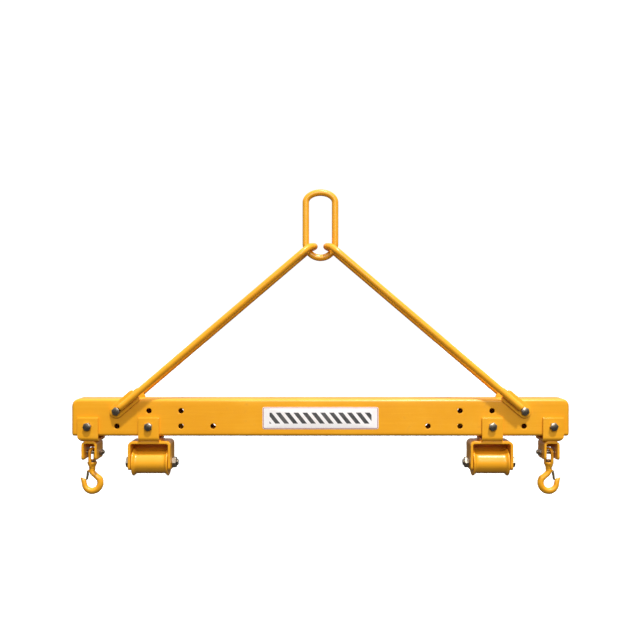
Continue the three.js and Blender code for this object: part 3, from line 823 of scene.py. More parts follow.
def quarter_fall(reach, radius):
    """How far a rounded corner has fallen: radius - sqrt(radius^2 - reach^2), reach past it."""
    past = np.clip(reach, 0, radius)
    return radius - np.sqrt(radius**2 - past**2)


def beam_skin(beam, x, inset):
    """Carries the section along X. Past the start of an end's corners the section is scaled to
    the fall of its upper, lower and side radii."""
    section = beam_section(beam, inset)
    past = np.abs(x)[:, None] - beam.half_length
    top = quarter_fall(past + beam.end_top, beam.end_top)
    low = quarter_fall(past + beam.end_low, beam.end_low)
    side = quarter_fall(past + beam.end_side, beam.end_side)
    y = section[:, 0] * (1 - side / beam.half_depth)
    z = low + section[:, 1] * (beam.height - top - low) / beam.height
    drawn = np.sign(x) * np.minimum(np.abs(x), beam.half_length - inset)
    bulk = np.abs(x) > beam.half_length - beam.end_top
    start = beam.half_length - beam.end_top
    share = (beam.end_top - inset) / beam.end_top
    drawn = np.where(bulk, np.sign(x) * (start + (np.abs(x) - start) * share), x)
    return np.stack([drawn[:, None] + 0 * y, y, z], axis=-1)


def square_loop(block):
    """Runs round the edge of a square block of point numbers."""
    return np.concatenate([block[:-1, 0], block[-1, :-1], block[:0:-1, -1], block[0, :0:-1]])


def spare_holes(beam):
    """Middles of the holes with no bolt in them, as (x, height)."""
    column = [beam.first_column + i * beam.pitch for i in range(4)]
    low = [(column[i], beam.low_row) for i in (0, 1, 3)]
    top = [(column[i], beam.top_row) for i in (1, 2)]
    return [(side * x, z) for _, side in SIDES for x, z in low + top]


class SPREADER_OT_beam(bpy.types.Operator):
    """Build the box-section beam with its rounded ends and spare holes"""

    bl_idname = "spreader.beam"
    bl_label = "Beam"

    def execute(self, context):
        beam = context.scene.spreader.beam
        holes = spare_holes(beam)
        x = beam_stations(beam, holes)
        skin = Skin()
        outer_points, inner_points = (beam_skin(beam, x, i) for i in (0, beam.wall))
        outer, inner = (
            skin.add_points(in_frame(points)) for points in (outer_points, inner_points)
        )
        faces_on = beam_section(beam, 0)
        keep = np.ones((len(x) - 1, outer.shape[1]), bool)
        bores = []
        for hole_x, hole_z in holes:
            i = int(np.argmin(np.abs(x - hole_x))) - HOLE_STEPS // 2
            for front in (True, False):
                on_face = (faces_on[:, 0] < 0) == front
                distance = np.abs(faces_on[:, 1] - hole_z) + 10.0 * ~on_face
                j = int(np.argmin(distance)) - HOLE_STEPS // 2
                keep[i:i + HOLE_STEPS, j:j + HOLE_STEPS] = False
                bores.append((hole_x, hole_z, i, j, -1 if front else 1))
        for numbers in (outer, inner):
            looped = np.column_stack([numbers, numbers[:, :1]])
            skin.add_faces(looped, keep)
        for hole_x, hole_z, i, j, face in bores:
            block = np.s_[i:i + HOLE_STEPS + 1, j:j + HOLE_STEPS + 1]
            self.bore(skin, beam, outer_points[block], outer[block], inner[block],
                      hole_x, hole_z, face)
        for numbers, points in ((outer, outer_points), (inner, inner_points)):
            for end in (0, -1):
                skin.add_cap(numbers[end], in_frame(points[end].mean(axis=0)))
        skin.piece("beam_shell", "beam", "yellow_paint",
                   ("beam_tube", "left_end_cap", "right_end_cap"))
        return {"FINISHED"}

    def bore(self, skin, beam, points, outer, inner, hole_x, hole_z, face):
        """A bore from the outer square to the inner one: each ring lies on the rays from the
        hole's middle to the square's edge, at the hole's radius, rounded at the mouth."""
        rays = square_loop(points)[:, [0, 2]] - np.array([hole_x, hole_z])
        rays /= np.linalg.norm(rays, axis=1, keepdims=True)
        mouth = 0.8 * MM
        angle = np.radians(np.linspace(0, 90, 4))
        radius = np.concatenate([beam.hole + mouth * (1 - np.sin(angle)), [beam.hole]])
        depth = np.concatenate([mouth * (1 - np.cos(angle)), [beam.wall]])
        rings = np.stack([
            hole_x + radius[:, None] * rays[:, 0],
            face * (beam.half_depth - depth)[:, None] + 0 * rays[:, 0],
            hole_z + radius[:, None] * rays[:, 1],
        ], axis=-1)
        numbers = np.vstack([
            square_loop(outer), skin.add_points(in_frame(rings)), square_loop(inner)
        ])
        skin.add_faces(np.column_stack([numbers, numbers[:, :1]]))


class SPREADER_OT_label(bpy.types.Operator):
    """Build the plain printed film on the beam's front face"""

    bl_idname = "spreader.label"
    bl_label = "Label"

    def execute(self, context):
        low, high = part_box("side_label")
        size, middle = high - low, (low + high) / 2

        def outline(inset):
            return even_rectangle(size.x / 2, size.z / 2, LABEL_CORNER, inset, 9)

        film = about_y(slab(outline, 0.6 * MM, 0.2 * MM))
        offset = np.array([middle.x, high.y - 0.3 * MM, middle.z])
        Skin().add(film + offset).piece("label_film", "beam", "label_film", ("side_label",))
        return {"FINISHED"}


# ---- Saddles, forks and their welds ----


def rolled_column(beam):
    """Where the roller saddles' bolts stand: the first hole column and two pitches."""
    return beam.first_column + 2 * beam.pitch


def arm_column(beam):
    """Where the arms' bolts stand: the first hole column and three pitches."""
    return beam.first_column + 3 * beam.pitch


def upright(path):
    """A path in (y, z) as points."""
    return np.column_stack([np.zeros(len(path)), path])


def endways(path):
    """A path in (x, z) as points."""
    return np.column_stack([path[:, 0], np.zeros(len(path)), path[:, 1]])


class SPREADER_OT_saddles(bpy.types.Operator):
    """Build the four saddles folded round the beam"""

    bl_idname = "spreader.saddles"
    bl_label = "Saddles"

    def execute(self, context):
        sizes = context.scene.spreader
        saddle, beam = sizes.saddle, sizes.beam
        half = beam.half_depth + GAP + saddle.wall
        path = upright(folded(half, saddle.top, saddle.bottom, saddle.bend, saddle.wall))

        def section(inset):
            return even_rectangle(saddle.width / 2, saddle.wall / 2, BAR_EDGE, inset)

        plain = carried(path, (1, 0, 0), section, BAR_EDGE)
        rise = plain[..., 2] - saddle.bottom
        fall = quarter_fall(saddle.cut_corner - rise, saddle.cut_corner)
        share = np.where(plain[..., 0] > 0, 1 - fall / (saddle.width / 2), 1)
        cornered = plain * np.stack([share, 1 + 0 * share, 1 + 0 * share], axis=-1)
        rolled = rolled_column(beam)
        for name, side in SIDES:
            for kind, shape, x in (("roller", plain, rolled), ("hook", cornered, beam.end_column)):
                node_name = f"{name}_{kind}_saddle"
                Skin().add(in_frame(shape, side, x)).piece(
                    f"{node_name}_bar", "beam", "yellow_paint", (node_name,))
        return {"FINISHED"}


class SPREADER_OT_forks(bpy.types.Operator):
    """Build the roller forks and the hook forks"""

    bl_idname = "spreader.forks"
    bl_label = "Forks"

    def execute(self, context):
        sizes = context.scene.spreader
        fork, beam = sizes.fork, sizes.beam
        top = sizes.saddle.bottom - GAP
        roller = self.shape(fork, top, fork.roller_width, fork.roller_wall, fork.roller_bend,
                            fork.roller_foot)
        hook = self.shape(fork, top, fork.hook_width, fork.hook_wall, fork.hook_bend,
                          fork.hook_foot)
        roller_plate = self.plate(fork, top, fork.roller_width, fork.roller_wall,
                                  fork.roller_back)
        hook_plate = self.plate(fork, top, fork.hook_width, fork.hook_wall, fork.hook_back)
        rolled = rolled_column(beam)
        for name, side in SIDES:
            for kind, bar, plate, x in (
                ("roller", roller, roller_plate, rolled),
                ("hook", hook, hook_plate, fork.hook_centre),
            ):
                node_name = f"{name}_{kind}_fork"
                skin = Skin().add(in_frame(bar, side, x)).add(in_frame(plate, 1, side * x))
                skin.piece(f"{node_name}_bar", "beam", "yellow_paint", (node_name,))
        return {"FINISHED"}

    def plate(self, fork, top, width, wall, low):
        """The plate between the legs, flush with their rear edges and let into the bar."""
        high = top - wall / 2 - 2 * MM
        half_width, half_height = (width - wall) / 2, (high - low) / 2

        def outline(inset):
            return even_rectangle(half_width, half_height, 2 * MM, inset)

        back = (fork.depth - fork.back_plate) / 2
        flat = about_y(slab(outline, fork.back_plate, MM))
        return flat + np.array([0, back, (high + low) / 2])

    def shape(self, fork, top, width, wall, bend, foot):
        """A flat bar folded downwards; near the feet its depth narrows by a quarter circle."""
        path = folded(width / 2, -foot, -top, bend, wall) * np.array([1, -1])

        def section(inset):
            return even_rectangle(fork.depth / 2, wall / 2, BAR_EDGE, inset)

        bar = carried(endways(path), (0, 1, 0), section, 1.2 * MM)
        fall = quarter_fall(fork.foot_corner - (bar[..., 2] - foot), fork.foot_corner)
        share = 1 - fall / (fork.depth / 2)
        return bar * np.stack([1 + 0 * share, share, 1 + 0 * share], axis=-1)


class SPREADER_OT_welds(bpy.types.Operator):
    """Build the weld beads between the saddles and their forks"""

    bl_idname = "spreader.welds"
    bl_label = "Saddle welds"

    def execute(self, context):
        sizes = context.scene.spreader
        saddle, fork, beam = sizes.saddle, sizes.fork, sizes.beam
        rolled = rolled_column(beam)
        seam = saddle.bottom - 0.2 * MM
        half = saddle.width / 2
        reach = fork.depth / 2 - 4 * MM
        shoulder = fork.hook_width / 2 - fork.hook_bend + 5 * MM
        front = beam.half_depth - 4 * MM
        for name, side in SIDES:
            skin = Skin()
            for k, edge in enumerate((-1, 1)):
                wide = [(-half + 4 * MM, edge * front, seam), (half - 4 * MM, edge * front, seam)]
                slim = [(-shoulder, edge * front, seam), (shoulder, edge * front, seam)]
                flank = [(edge * (half + MM), -reach, seam), (edge * (half + MM), reach, seam)]
                waist = [(edge * shoulder, -reach, seam), (edge * shoulder, reach, seam)]
                for path, across, x in (
                    (wide, (0, 1, 0), rolled), (flank, (1, 0, 0), rolled),
                    (slim, (0, 1, 0), fork.hook_centre), (waist, (1, 0, 0), fork.hook_centre),
                ):
                    skin.add(in_frame(bead(path, across, SADDLE_BEAD, k), side, x))
            skin.piece(f"{name}_saddle_welds", "beam", "yellow_paint")
        return {"FINISHED"}


# ---- Bolts and nuts, along their own Z from the seat of the head ----


def hexagon(flats, angle):
    """Distance to a hexagon's side: half the flats over the cosine of the angle from the
    middle of the nearest side."""
    return flats / 2 / np.cos((angle + np.pi / 6) % (np.pi / 3) - np.pi / 6)


def hexagon_rings(flats, low, high, faces):
    """Rings of a hexagon from one face to the other. Towards a face the corners fall away at 30
    degrees outside a circle a little inside the flats; faces says which ends are so cut."""
    angle = np.linspace(0, 2 * np.pi, ROUND, endpoint=False)
    corner, circle = hexagon(flats, angle), np.full(ROUND, FACE_CIRCLE * flats)
    fall = math.tan(math.radians(FACE_FALL))
    rows = []
    for at, sign, cut in ((low, 1, faces[0]), (high, -1, faces[1])):
        shares = (0.0, 0.5, 1.0) if cut else (0.0, 1.0)
        ends = []
        for share in shares:
            radius = circle + share * (corner - circle)
            drop = (radius - circle) * fall if cut else 0 * radius
            ends.append((radius, at + sign * drop))
        rows += ends if sign == 1 else ends[::-1]
    return np.stack([
        np.column_stack([radius * np.cos(angle), radius * np.sin(angle), z]) for radius, z in rows
    ])


def bolt_shapes(bolt, grip):
    """A bolt's head and its threaded shank. The thread's radius is
    shank - depth * (1 + cos(2 pi (z / pitch) - a)) / 2."""
    head = hexagon_rings(bolt.flats, -bolt.head, 0, (True, False))
    seat = grip + 2 * GAP
    end = seat + bolt.nut + bolt.past
    thread_from = seat - 4 * MM
    z = np.concatenate([
        [-bolt.head / 2, 0, thread_from], np.arange(thread_from, end, bolt.pitch / 7)[1:], [end]
    ])
    angle = np.linspace(0, 2 * np.pi, 40, endpoint=False)
    wave = (1 + np.cos(2 * np.pi * z[:, None] / bolt.pitch - angle)) / 2
    ramp = np.clip((z - thread_from) / bolt.pitch, 0, 1)[:, None]
    chamfer = np.clip(z - (end - 1.5 * MM), 0, None)[:, None]
    radius = bolt.shank - 0.5 * bolt.pitch * wave * ramp - chamfer
    shank = np.stack([
        radius * np.cos(angle), radius * np.sin(angle), z[:, None] + 0 * radius
    ], axis=-1)
    return head, shank


def nut_shape(bolt):
    """A nut from its seat at 0: both faces cut back, and a countersunk bore through it."""
    rings = hexagon_rings(bolt.flats, 0, bolt.nut, (True, True))
    angle = np.linspace(0, 2 * np.pi, ROUND, endpoint=False)
    bore = bolt.shank + 0.1 * MM
    inside = [(bore + MM, bolt.nut), (bore, bolt.nut - MM), (bore, MM), (bore + MM, 0.0)]
    inner = np.stack([
        np.column_stack([r * np.cos(angle), r * np.sin(angle), np.full(ROUND, z)])
        for r, z in inside
    ])
    return np.concatenate([rings, inner])


class SPREADER_OT_fasteners(bpy.types.Operator):
    """Build every bolt and nut"""

    bl_idname = "spreader.fasteners"
    bl_label = "Bolts and nuts"

    def execute(self, context):
        sizes = context.scene.spreader
        beam, fork = sizes.beam, sizes.fork
        stack = beam.half_depth + GAP + sizes.saddle.wall + GAP
        rolled = rolled_column(beam)
        armed = arm_column(beam)
        axle = fork.roller_width / 2 + GAP
        hook = fork.hook_width / 2 + GAP
        for name, side in SIDES:
            for kind, x, z, turn in (
                ("hook_saddle", beam.end_column, beam.low_row, 20),
                ("roller_saddle", rolled, beam.low_row, 8),
                ("arm", armed, beam.top_row, 47),
            ):
                self.pair(f"{name}_{kind}_bolt", f"{name}_{kind}_nut", sizes.cross_bolt, stack,
                          about_y, 1, (side * x, 0, z), turn + side)
            self.pair(f"{name}_axle_bolt", f"{name}_axle_nut", sizes.axle_bolt, axle,
                      about_x, -side, (side * rolled, 0, fork.roller_axle), 30)
            self.pair(f"{name}_hook_bolt", f"{name}_hook_bolt_nut", sizes.hook_bolt, hook,
                      about_x, -side, (side * fork.hook_centre, 0, fork.hook_axle), 30)
        return {"FINISHED"}

    def pair(self, bolt_node, nut_node, bolt, stack, lay, heading, at, turn):
        """A bolt and its nut through a stack that reaches stack to both sides of at."""
        head, shank = bolt_shapes(bolt, 2 * stack - 2 * GAP)
        nut = nut_shape(bolt) + np.array([0, 0, 2 * stack])

        def set_out(points):
            shifted = points - np.array([0, 0, stack])
            laid = lay(turned_about_z(shifted, math.radians(turn)))
            if heading < 0:
                laid = laid * np.array([-1, -1, 1])
            return in_frame(laid, 1, *at)

        made = Skin().add(set_out(head)).add(set_out(shank))
        made.piece(f"{bolt_node}_threaded", "beam", "zinc_plate", (bolt_node,))
        made = Skin().add(set_out(nut), closed=True)
        made.piece(f"{nut_node}_hexagon", "beam", "zinc_plate", (nut_node,))


class SPREADER_OT_sleeves(bpy.types.Operator):
    """Finish the crush sleeves inside the beam"""

    bl_idname = "spreader.sleeves"
    bl_label = "Crush sleeves"

    def execute(self, context):
        for name, _ in SIDES:
            for kind in ("hook_saddle", "roller_saddle", "arm"):
                refinish(f"{name}_{kind}_crush_sleeve", "zinc_plate")
        return {"FINISHED"}


# ---- Sling rollers ----


class SPREADER_OT_rollers(bpy.types.Operator):
    """Build the sling rollers and their bushes"""

    bl_idname = "spreader.rollers"
    bl_label = "Sling rollers"

    def execute(self, context):
        sizes = context.scene.spreader
        roller, beam = sizes.roller, sizes.beam
        drum = self.outline(roller)
        bush_half = roller.half + 0.5 * MM
        outer = roller.bore - GAP
        lip = 0.8 * MM
        quarter = [(roller.bush_bore, bush_half - lip), (roller.bush_bore + lip, bush_half),
                   (outer - lip, bush_half), (outer, bush_half - lip)]
        bush = np.array(quarter + [(r, -x) for r, x in quarter[::-1]])
        at = rolled_column(beam)
        axle = sizes.fork.roller_axle
        for name, side in SIDES:
            Skin().add(in_frame(about_x(lathe(drum, 96)), 1, side * at, 0, axle), True).piece(
                f"{name}_roller_drum", f"{name}_roller", "yellow_paint", (f"{name}_roller",), 50)
            Skin().add(in_frame(about_x(lathe(bush)), 1, side * at, 0, axle), True).piece(
                f"{name}_roller_bearing", f"{name}_roller", "bronze_bush",
                (f"{name}_roller_bush",))
        return {"FINISHED"}

    def outline(self, roller):
        """Half of the bobbin as (radius, x): along the drum, up a smooth cove to the flange,
        over its round rim and down the end face to the bore; then its mirror image."""
        rise, run = roller.flange - roller.drum, roller.half - roller.drum_half
        cove = np.array([roller.drum, roller.drum_half]) + through([
            (0, 0), (0.10, 0.22), (0.42, 0.42), (0.78, 0.58), (1, 0.76), (0.9, 0.92), (0.55, 1),
        ], 30) * np.array([rise, run])
        face = [(roller.flange - 11 * MM, roller.half - MM),
                (roller.bore + 9 * MM, roller.half - MM), (roller.bore + 7 * MM, roller.half),
                (roller.bore + MM, roller.half), (roller.bore, roller.half - MM)]
        half = np.concatenate([
            np.linspace((roller.drum, 0.1 * MM), cove[0], 9)[:-1], cove, np.array(face),
        ])
        return np.concatenate([half, half[::-1] * np.array([1, -1])])


# ---- Arms and master link ----


def arm_measures(beam, arm):
    """Angle of an arm's straight legs, where its knee starts and ends, and its whole reach."""
    armed = arm_column(beam)
    corner_x = armed - arm.half_gap - arm.crown_run * math.cos(arm.crown_pitch)
    corner_z = arm.crown_height - arm.crown_run * math.sin(arm.crown_pitch) - beam.top_row
    tangent = arm.knee * math.tan(arm.crown_turn / 2)
    start = math.hypot(corner_x, corner_z) - tangent
    end = start + arm.knee * arm.crown_turn
    return math.atan2(corner_z, corner_x), start, end, end + arm.crown_run - tangent


def hairpin(beam, arm, offset):
    """Middle line of the bar, and the normal of the strip that it lies in.

    The hairpin runs up one leg, half a circle of the leg offset round, and down the other. Its
    strip is straight up to the knee, turns there by a circular arc, and is straight again.
    """
    _, start, end, reach = arm_measures(beam, arm)
    heading = np.linspace(0, np.pi, 97)
    leg = np.linspace(arm.bar_start, reach - offset, 40)[:-1]
    distance = np.concatenate([leg, reach - offset + offset * np.sin(heading), leg[::-1]])
    y = np.concatenate([0 * leg - offset, -offset * np.cos(heading), 0 * leg + offset])
    slope = np.clip((distance - start) / arm.knee, 0, arm.crown_turn)
    before, after = np.minimum(distance, start), np.maximum(distance - end, 0)
    x = before + arm.knee * np.sin(slope) + after * np.cos(slope)
    z = arm.knee * (1 - np.cos(slope)) + after * np.sin(slope)
    normal = np.column_stack([-np.sin(slope), 0 * slope, np.cos(slope)])
    return np.column_stack([x, y, z]), normal


def on_arm(points, beam, arm):
    """From an arm's own frame, with +X up the arm from its bolt, to the right end's place."""
    angle = math.pi + arm_measures(beam, arm)[0]
    c, s = math.cos(angle), math.sin(angle)
    armed = arm_column(beam)
    turn = np.array([[c, 0, -s], [0, 1, 0], [s, 0, c]])
    return points @ turn + np.array([armed, 0, beam.top_row])


class SPREADER_OT_arms(bpy.types.Operator):
    """Build the two hairpin arms with their lugs and welds"""

    bl_idname = "spreader.arms"
    bl_label = "Arms"

    def execute(self, context):
        sizes = context.scene.spreader
        beam, arm = sizes.beam, sizes.arm
        lug_face = beam.half_depth + GAP + arm.lug_thickness
        path, normal = hairpin(beam, arm, lug_face + GAP + arm.bar)
        bar = carried(path, normal, lambda inset: round_section(arm.bar, inset, 32), 1.2 * MM)

        def lug_outline(inset):
            radius, corner = arm.lug_radius, arm.lug_corner
            return rounded_rectangle((-radius, -radius), (arm.lug_reach, radius),
                                     (radius, corner, corner, radius), inset, 11)

        lug = about_y(slab(lug_outline, arm.lug_thickness, BAR_EDGE))
        lug_at = beam.half_depth + GAP + arm.lug_thickness / 2
        for name, side in SIDES:
            body = f"{name}_arm"
            Skin().add(in_frame(on_arm(bar, beam, arm), side)).piece(
                f"{name}_arm_hairpin", body, "yellow_paint", (f"{name}_arm_bar",))
            welds = Skin()
            for face in (-1, 1):
                shape = on_arm(lug + np.array([0, face * lug_at, 0]), beam, arm)
                lug_node = f"{name}_arm_{'front' if face * side < 0 else 'rear'}_lug"
                Skin().add(in_frame(shape, side)).piece(
                    f"{lug_node}_plate", body, "yellow_paint", (lug_node,))
                weld = self.weld(arm, face * (lug_face + 1.8 * MM))
                welds.add(in_frame(on_arm(weld, beam, arm), side))
            welds.piece(f"{name}_arm_welds", body, "yellow_paint")
        return {"FINISHED"}

    def weld(self, arm, y):
        """A bead along both sides of the bar on its lug and close round the bar's end."""
        off, start = 9 * MM, arm.bar_start + 2 * MM
        far = arm.lug_reach - 4 * MM
        turn = arc((0, 0), 1.0, 90, 270, 16) * np.array([3.6 * MM, off]) + np.array([start, 0])
        path = np.concatenate([[(far, off)], turn, [(far, -off)]])
        points = np.column_stack([path[:, 0], np.full(len(path), y), path[:, 1]])
        return bead(points, (0, 1, 0), LUG_BEAD, 0)


class SPREADER_OT_master_link(bpy.types.Operator):
    """Build the oblong master link"""

    bl_idname = "spreader.master_link"
    bl_label = "Master link"

    def execute(self, context):
        arm = context.scene.spreader.arm
        radius = arm.link_half + arm.bar
        top = arm.link_top + arm.bar - arm.link_arch
        low = arm.link_bottom + arm.link_half
        line = np.concatenate([
            arc((0, 0), 1.0, 0, 180, 61) * np.array([radius, arm.link_arch]) + np.array([0, top]),
            np.linspace((-radius, top), (-radius, low), 16)[1:-1],
            arc((0, low), radius, 180, 360, 61),
            np.linspace((radius, low), (radius, top), 16)[1:-1],
        ])
        seam = np.exp(-(((line[:, 1] - (top + low) / 2) / (4 * MM)) ** 2)) * (line[:, 0] > 0)
        path = endways(line)
        ring = carried(path, (0, 1, 0), lambda inset: round_section(arm.bar, inset, 36), 0, True)
        swell = 1 + 0.03 * seam
        ring = path[:, None] + (ring - path[:, None]) * swell[:, None, None]
        Skin().add(in_frame(ring), closed=True).piece(
            "master_link_ring", "master_link", "yellow_paint", ("master_link",))
        return {"FINISHED"}


# ---- Swivel hooks ----


class SPREADER_OT_bails(bpy.types.Operator):
    """Build the bails that carry the hooks"""

    bl_idname = "spreader.bails"
    bl_label = "Bails"

    def execute(self, context):
        sizes = context.scene.spreader
        hook, fork = sizes.hook, sizes.fork
        arch = arc((0, 0), 1.0, 0, 180, 33) * np.array([hook.bail_half, hook.bail_arch])
        arch = arch + np.array([0, fork.hook_axle])
        leg = through([
            (hook.foot_half, hook.bail_foot),
            (hook.bail_half - 1.5 * MM, hook.bail_shoulder - 7 * MM),
            (hook.bail_half, hook.bail_shoulder + 6 * MM),
            (hook.bail_half, fork.hook_axle),
        ], 24)
        line = np.concatenate([leg[:-1], arch, leg[-2::-1] * np.array([-1, 1])])
        bar = carried(upright(line), (1, 0, 0), lambda inset: round_section(hook.bail_bar, inset))
        boss = lathe(self.boss(hook))
        for name, side in SIDES:
            turn = getattr(hook, f"{name}_bail_turn")
            skin = Skin()
            skin.add(in_frame(turned_about_z(bar, turn), side, fork.hook_centre))
            skin.add(in_frame(turned_about_z(boss, turn), side, fork.hook_centre), closed=True)
            skin.piece(f"{name}_bail_forging", f"{name}_bail", "yellow_paint", (f"{name}_bail",),
                       50)
        return {"FINISHED"}

    def boss(self, hook):
        """The boss as (radius, height): bore, rounded foot, a swelling flank, rounded top."""
        foot, top = hook.boss_low_radius, hook.boss_radius
        lip = 2 * MM
        flank = through([
            (foot, hook.boss_foot + lip), (foot + 1.2 * MM, hook.boss_foot + 9 * MM),
            (top - 0.6 * MM, hook.boss_top - 7 * MM), (top, hook.boss_top - lip),
        ], 14)
        return np.concatenate([
            [(hook.boss_bore, hook.boss_foot)],
            arc((foot - lip, hook.boss_foot + lip), lip, -90, 0, 6),
            flank[1:-1],
            arc((top - lip, hook.boss_top - lip), lip, 0, 90, 6),
            [(hook.boss_bore, hook.boss_top)],
        ])


class SPREADER_OT_hooks(bpy.types.Operator):
    """Build the forged hooks and their stem collars"""

    bl_idname = "spreader.hooks"
    bl_label = "Hooks"

    def execute(self, context):
        sizes = context.scene.spreader
        hook, fork = sizes.hook, sizes.fork
        neck = hook.boss_foot - GAP
        forging = self.forging(hook, neck)
        stem = lathe([(hook.stem, neck - 6 * MM), (hook.stem, neck),
                      (hook.stem, hook.stem_top - MM), (hook.stem - MM, hook.stem_top)], 40)
        ear = self.ear()
        low = hook.boss_top + GAP
        bore = hook.stem + 0.6 * MM
        lip = 1.2 * MM
        collar = lathe([(bore, low), (hook.collar - 0.3 * MM, low), (hook.collar, low + 0.3 * MM),
                        (hook.collar, hook.collar_top - lip),
                        (hook.collar - lip, hook.collar_top), (bore, hook.collar_top)], 48)
        for name, side in SIDES:
            skin = Skin()
            for shape in (forging, stem, ear):
                skin.add(in_frame(shape, side, fork.hook_centre))
            skin.piece(f"{name}_hook_forging", f"{name}_hook", "yellow_paint", (f"{name}_hook",),
                       60)
            Skin().add(in_frame(collar, side, fork.hook_centre), closed=True).piece(
                f"{name}_collar", f"{name}_hook", "zinc_plate", (f"{name}_stem_collar",))
        return {"FINISHED"}

    def forging(self, hook, neck):
        """Rings across the forging. A row gives the ring's inner point, its outer point and its
        half depth; the rows run smoothly from the neck, round the bowl, to the tip. A ring is
        inner + (outer - inner) * (1 - cos a) / 2, and half depth * sin a * (1 + 0.16 cos a)."""
        degrees_round = np.linspace(150, 352, 18)
        angle = np.radians(degrees_round)
        tip = np.clip((degrees_round - 270) / 90, 0, 1)
        tip = tip * tip * (3 - 2 * tip)
        back = hook.back + (hook.back_at_tip - hook.back) * tip
        depth = hook.half_depth + (hook.tip_half_depth - hook.half_depth) * tip
        bowl = np.column_stack([
            hook.bowl_x + hook.bowl * np.cos(angle), hook.bowl_z + hook.bowl * np.sin(angle),
            hook.bowl_x + back * np.cos(angle), hook.bowl_z + back * np.sin(angle), depth,
        ])
        # Each row in mm: inner x, inner height, outer x, outer height, half depth.
        throat = MM * np.array([
            (12.5, 1000 * neck, -12.5, 1000 * neck, 12.5),
            (12.5, -144, -12.3, -144, 12.5),
            (12.3, -150, -12, -149, 12.5),
            (9.5, -158, -16.5, -155, 12.5),
            (4.5, -166, -24.5, -161, 12.4),
            (-5.5, -175, -33.5, -168, 12.2),
        ])
        point = MM * np.array([
            (24, -190, 45.5, -187, 8.5),
            (26.2, -185.5, 47.4, -180.5, 7.0),
            (27.4, -182.6, 48.6, -175.8, 4.6),
        ])
        rows = through(np.concatenate([throat, bowl, point]), 150)
        rows[0, 4] = rows[1, 4]
        turn = np.linspace(0, 2 * np.pi, 36, endpoint=False)
        blend = (1 - np.cos(turn)) / 2
        x = rows[:, :1] + (rows[:, 2:3] - rows[:, :1]) * blend
        z = rows[:, 1:2] + (rows[:, 3:4] - rows[:, 1:2]) * blend
        y = -rows[:, 4:5] * np.sin(turn) * (1 + 0.16 * np.cos(turn))
        return np.stack([x, y, z], axis=-1)

    def ear(self):
        """The ear that carries the latch pin."""
        low, high = (0, EAR_Z - EAR_RADIUS), (EAR_X + EAR_RADIUS, EAR_Z + EAR_RADIUS)
        radii = (0.2 * MM, EAR_RADIUS, EAR_RADIUS, 0.2 * MM)

        def outline(inset):
            return rounded_rectangle(low, high, radii, inset)

        return about_y(slab(outline, EAR_WIDTH, 0.8 * MM)) * np.array([1, 1, -1])


class SPREADER_OT_latches(bpy.types.Operator):
    """Finish the pressed latches and build their pins"""

    bl_idname = "spreader.latches"
    bl_label = "Latches"

    def execute(self, context):
        for name, _ in SIDES:
            refinish(f"{name}_latch", "latch_sheet", 0.4 * MM)
            low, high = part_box(f"{name}_latch_pin")
            half, radius = (high.y - low.y) / 2, (high.z - low.z) / 2
            cap = [(radius + 0.7 * MM, half - 1.6 * MM), (radius + 0.7 * MM, half - 0.6 * MM),
                   (radius * 0.7, half)]
            profile = [(r, -z) for r, z in cap[::-1]] + [
                (radius, -half + 1.6 * MM), (radius, half - 1.6 * MM)] + cap
            pin = about_y(lathe(profile, 28)) + np.array((low + high) / 2)
            Skin().add(pin).piece(f"{name}_latch_rivet", f"{name}_hook", "zinc_plate",
                                  (f"{name}_latch_pin",))
        return {"FINISHED"}


# ---- Stage ----


def area_light(name, at, target, size, power):
    """A square light at a place, facing a target."""
    light = bpy.data.lights.new(name, "AREA")
    light.size = size
    light.energy = power
    lamp = bpy.data.objects.new(name, light)
    bpy.context.scene.collection.objects.link(lamp)
    heading = np.array(target) - np.array(at)
    lamp.location = at
    lamp.rotation_euler = aim(heading)
    return lamp


def aim(heading):
    """Euler angles that turn -Z along a heading, with +Y upwards."""
    x, y, z = heading
    flat = math.hypot(x, y)
    return math.atan2(flat, -z), 0.0, math.atan2(-x, y)


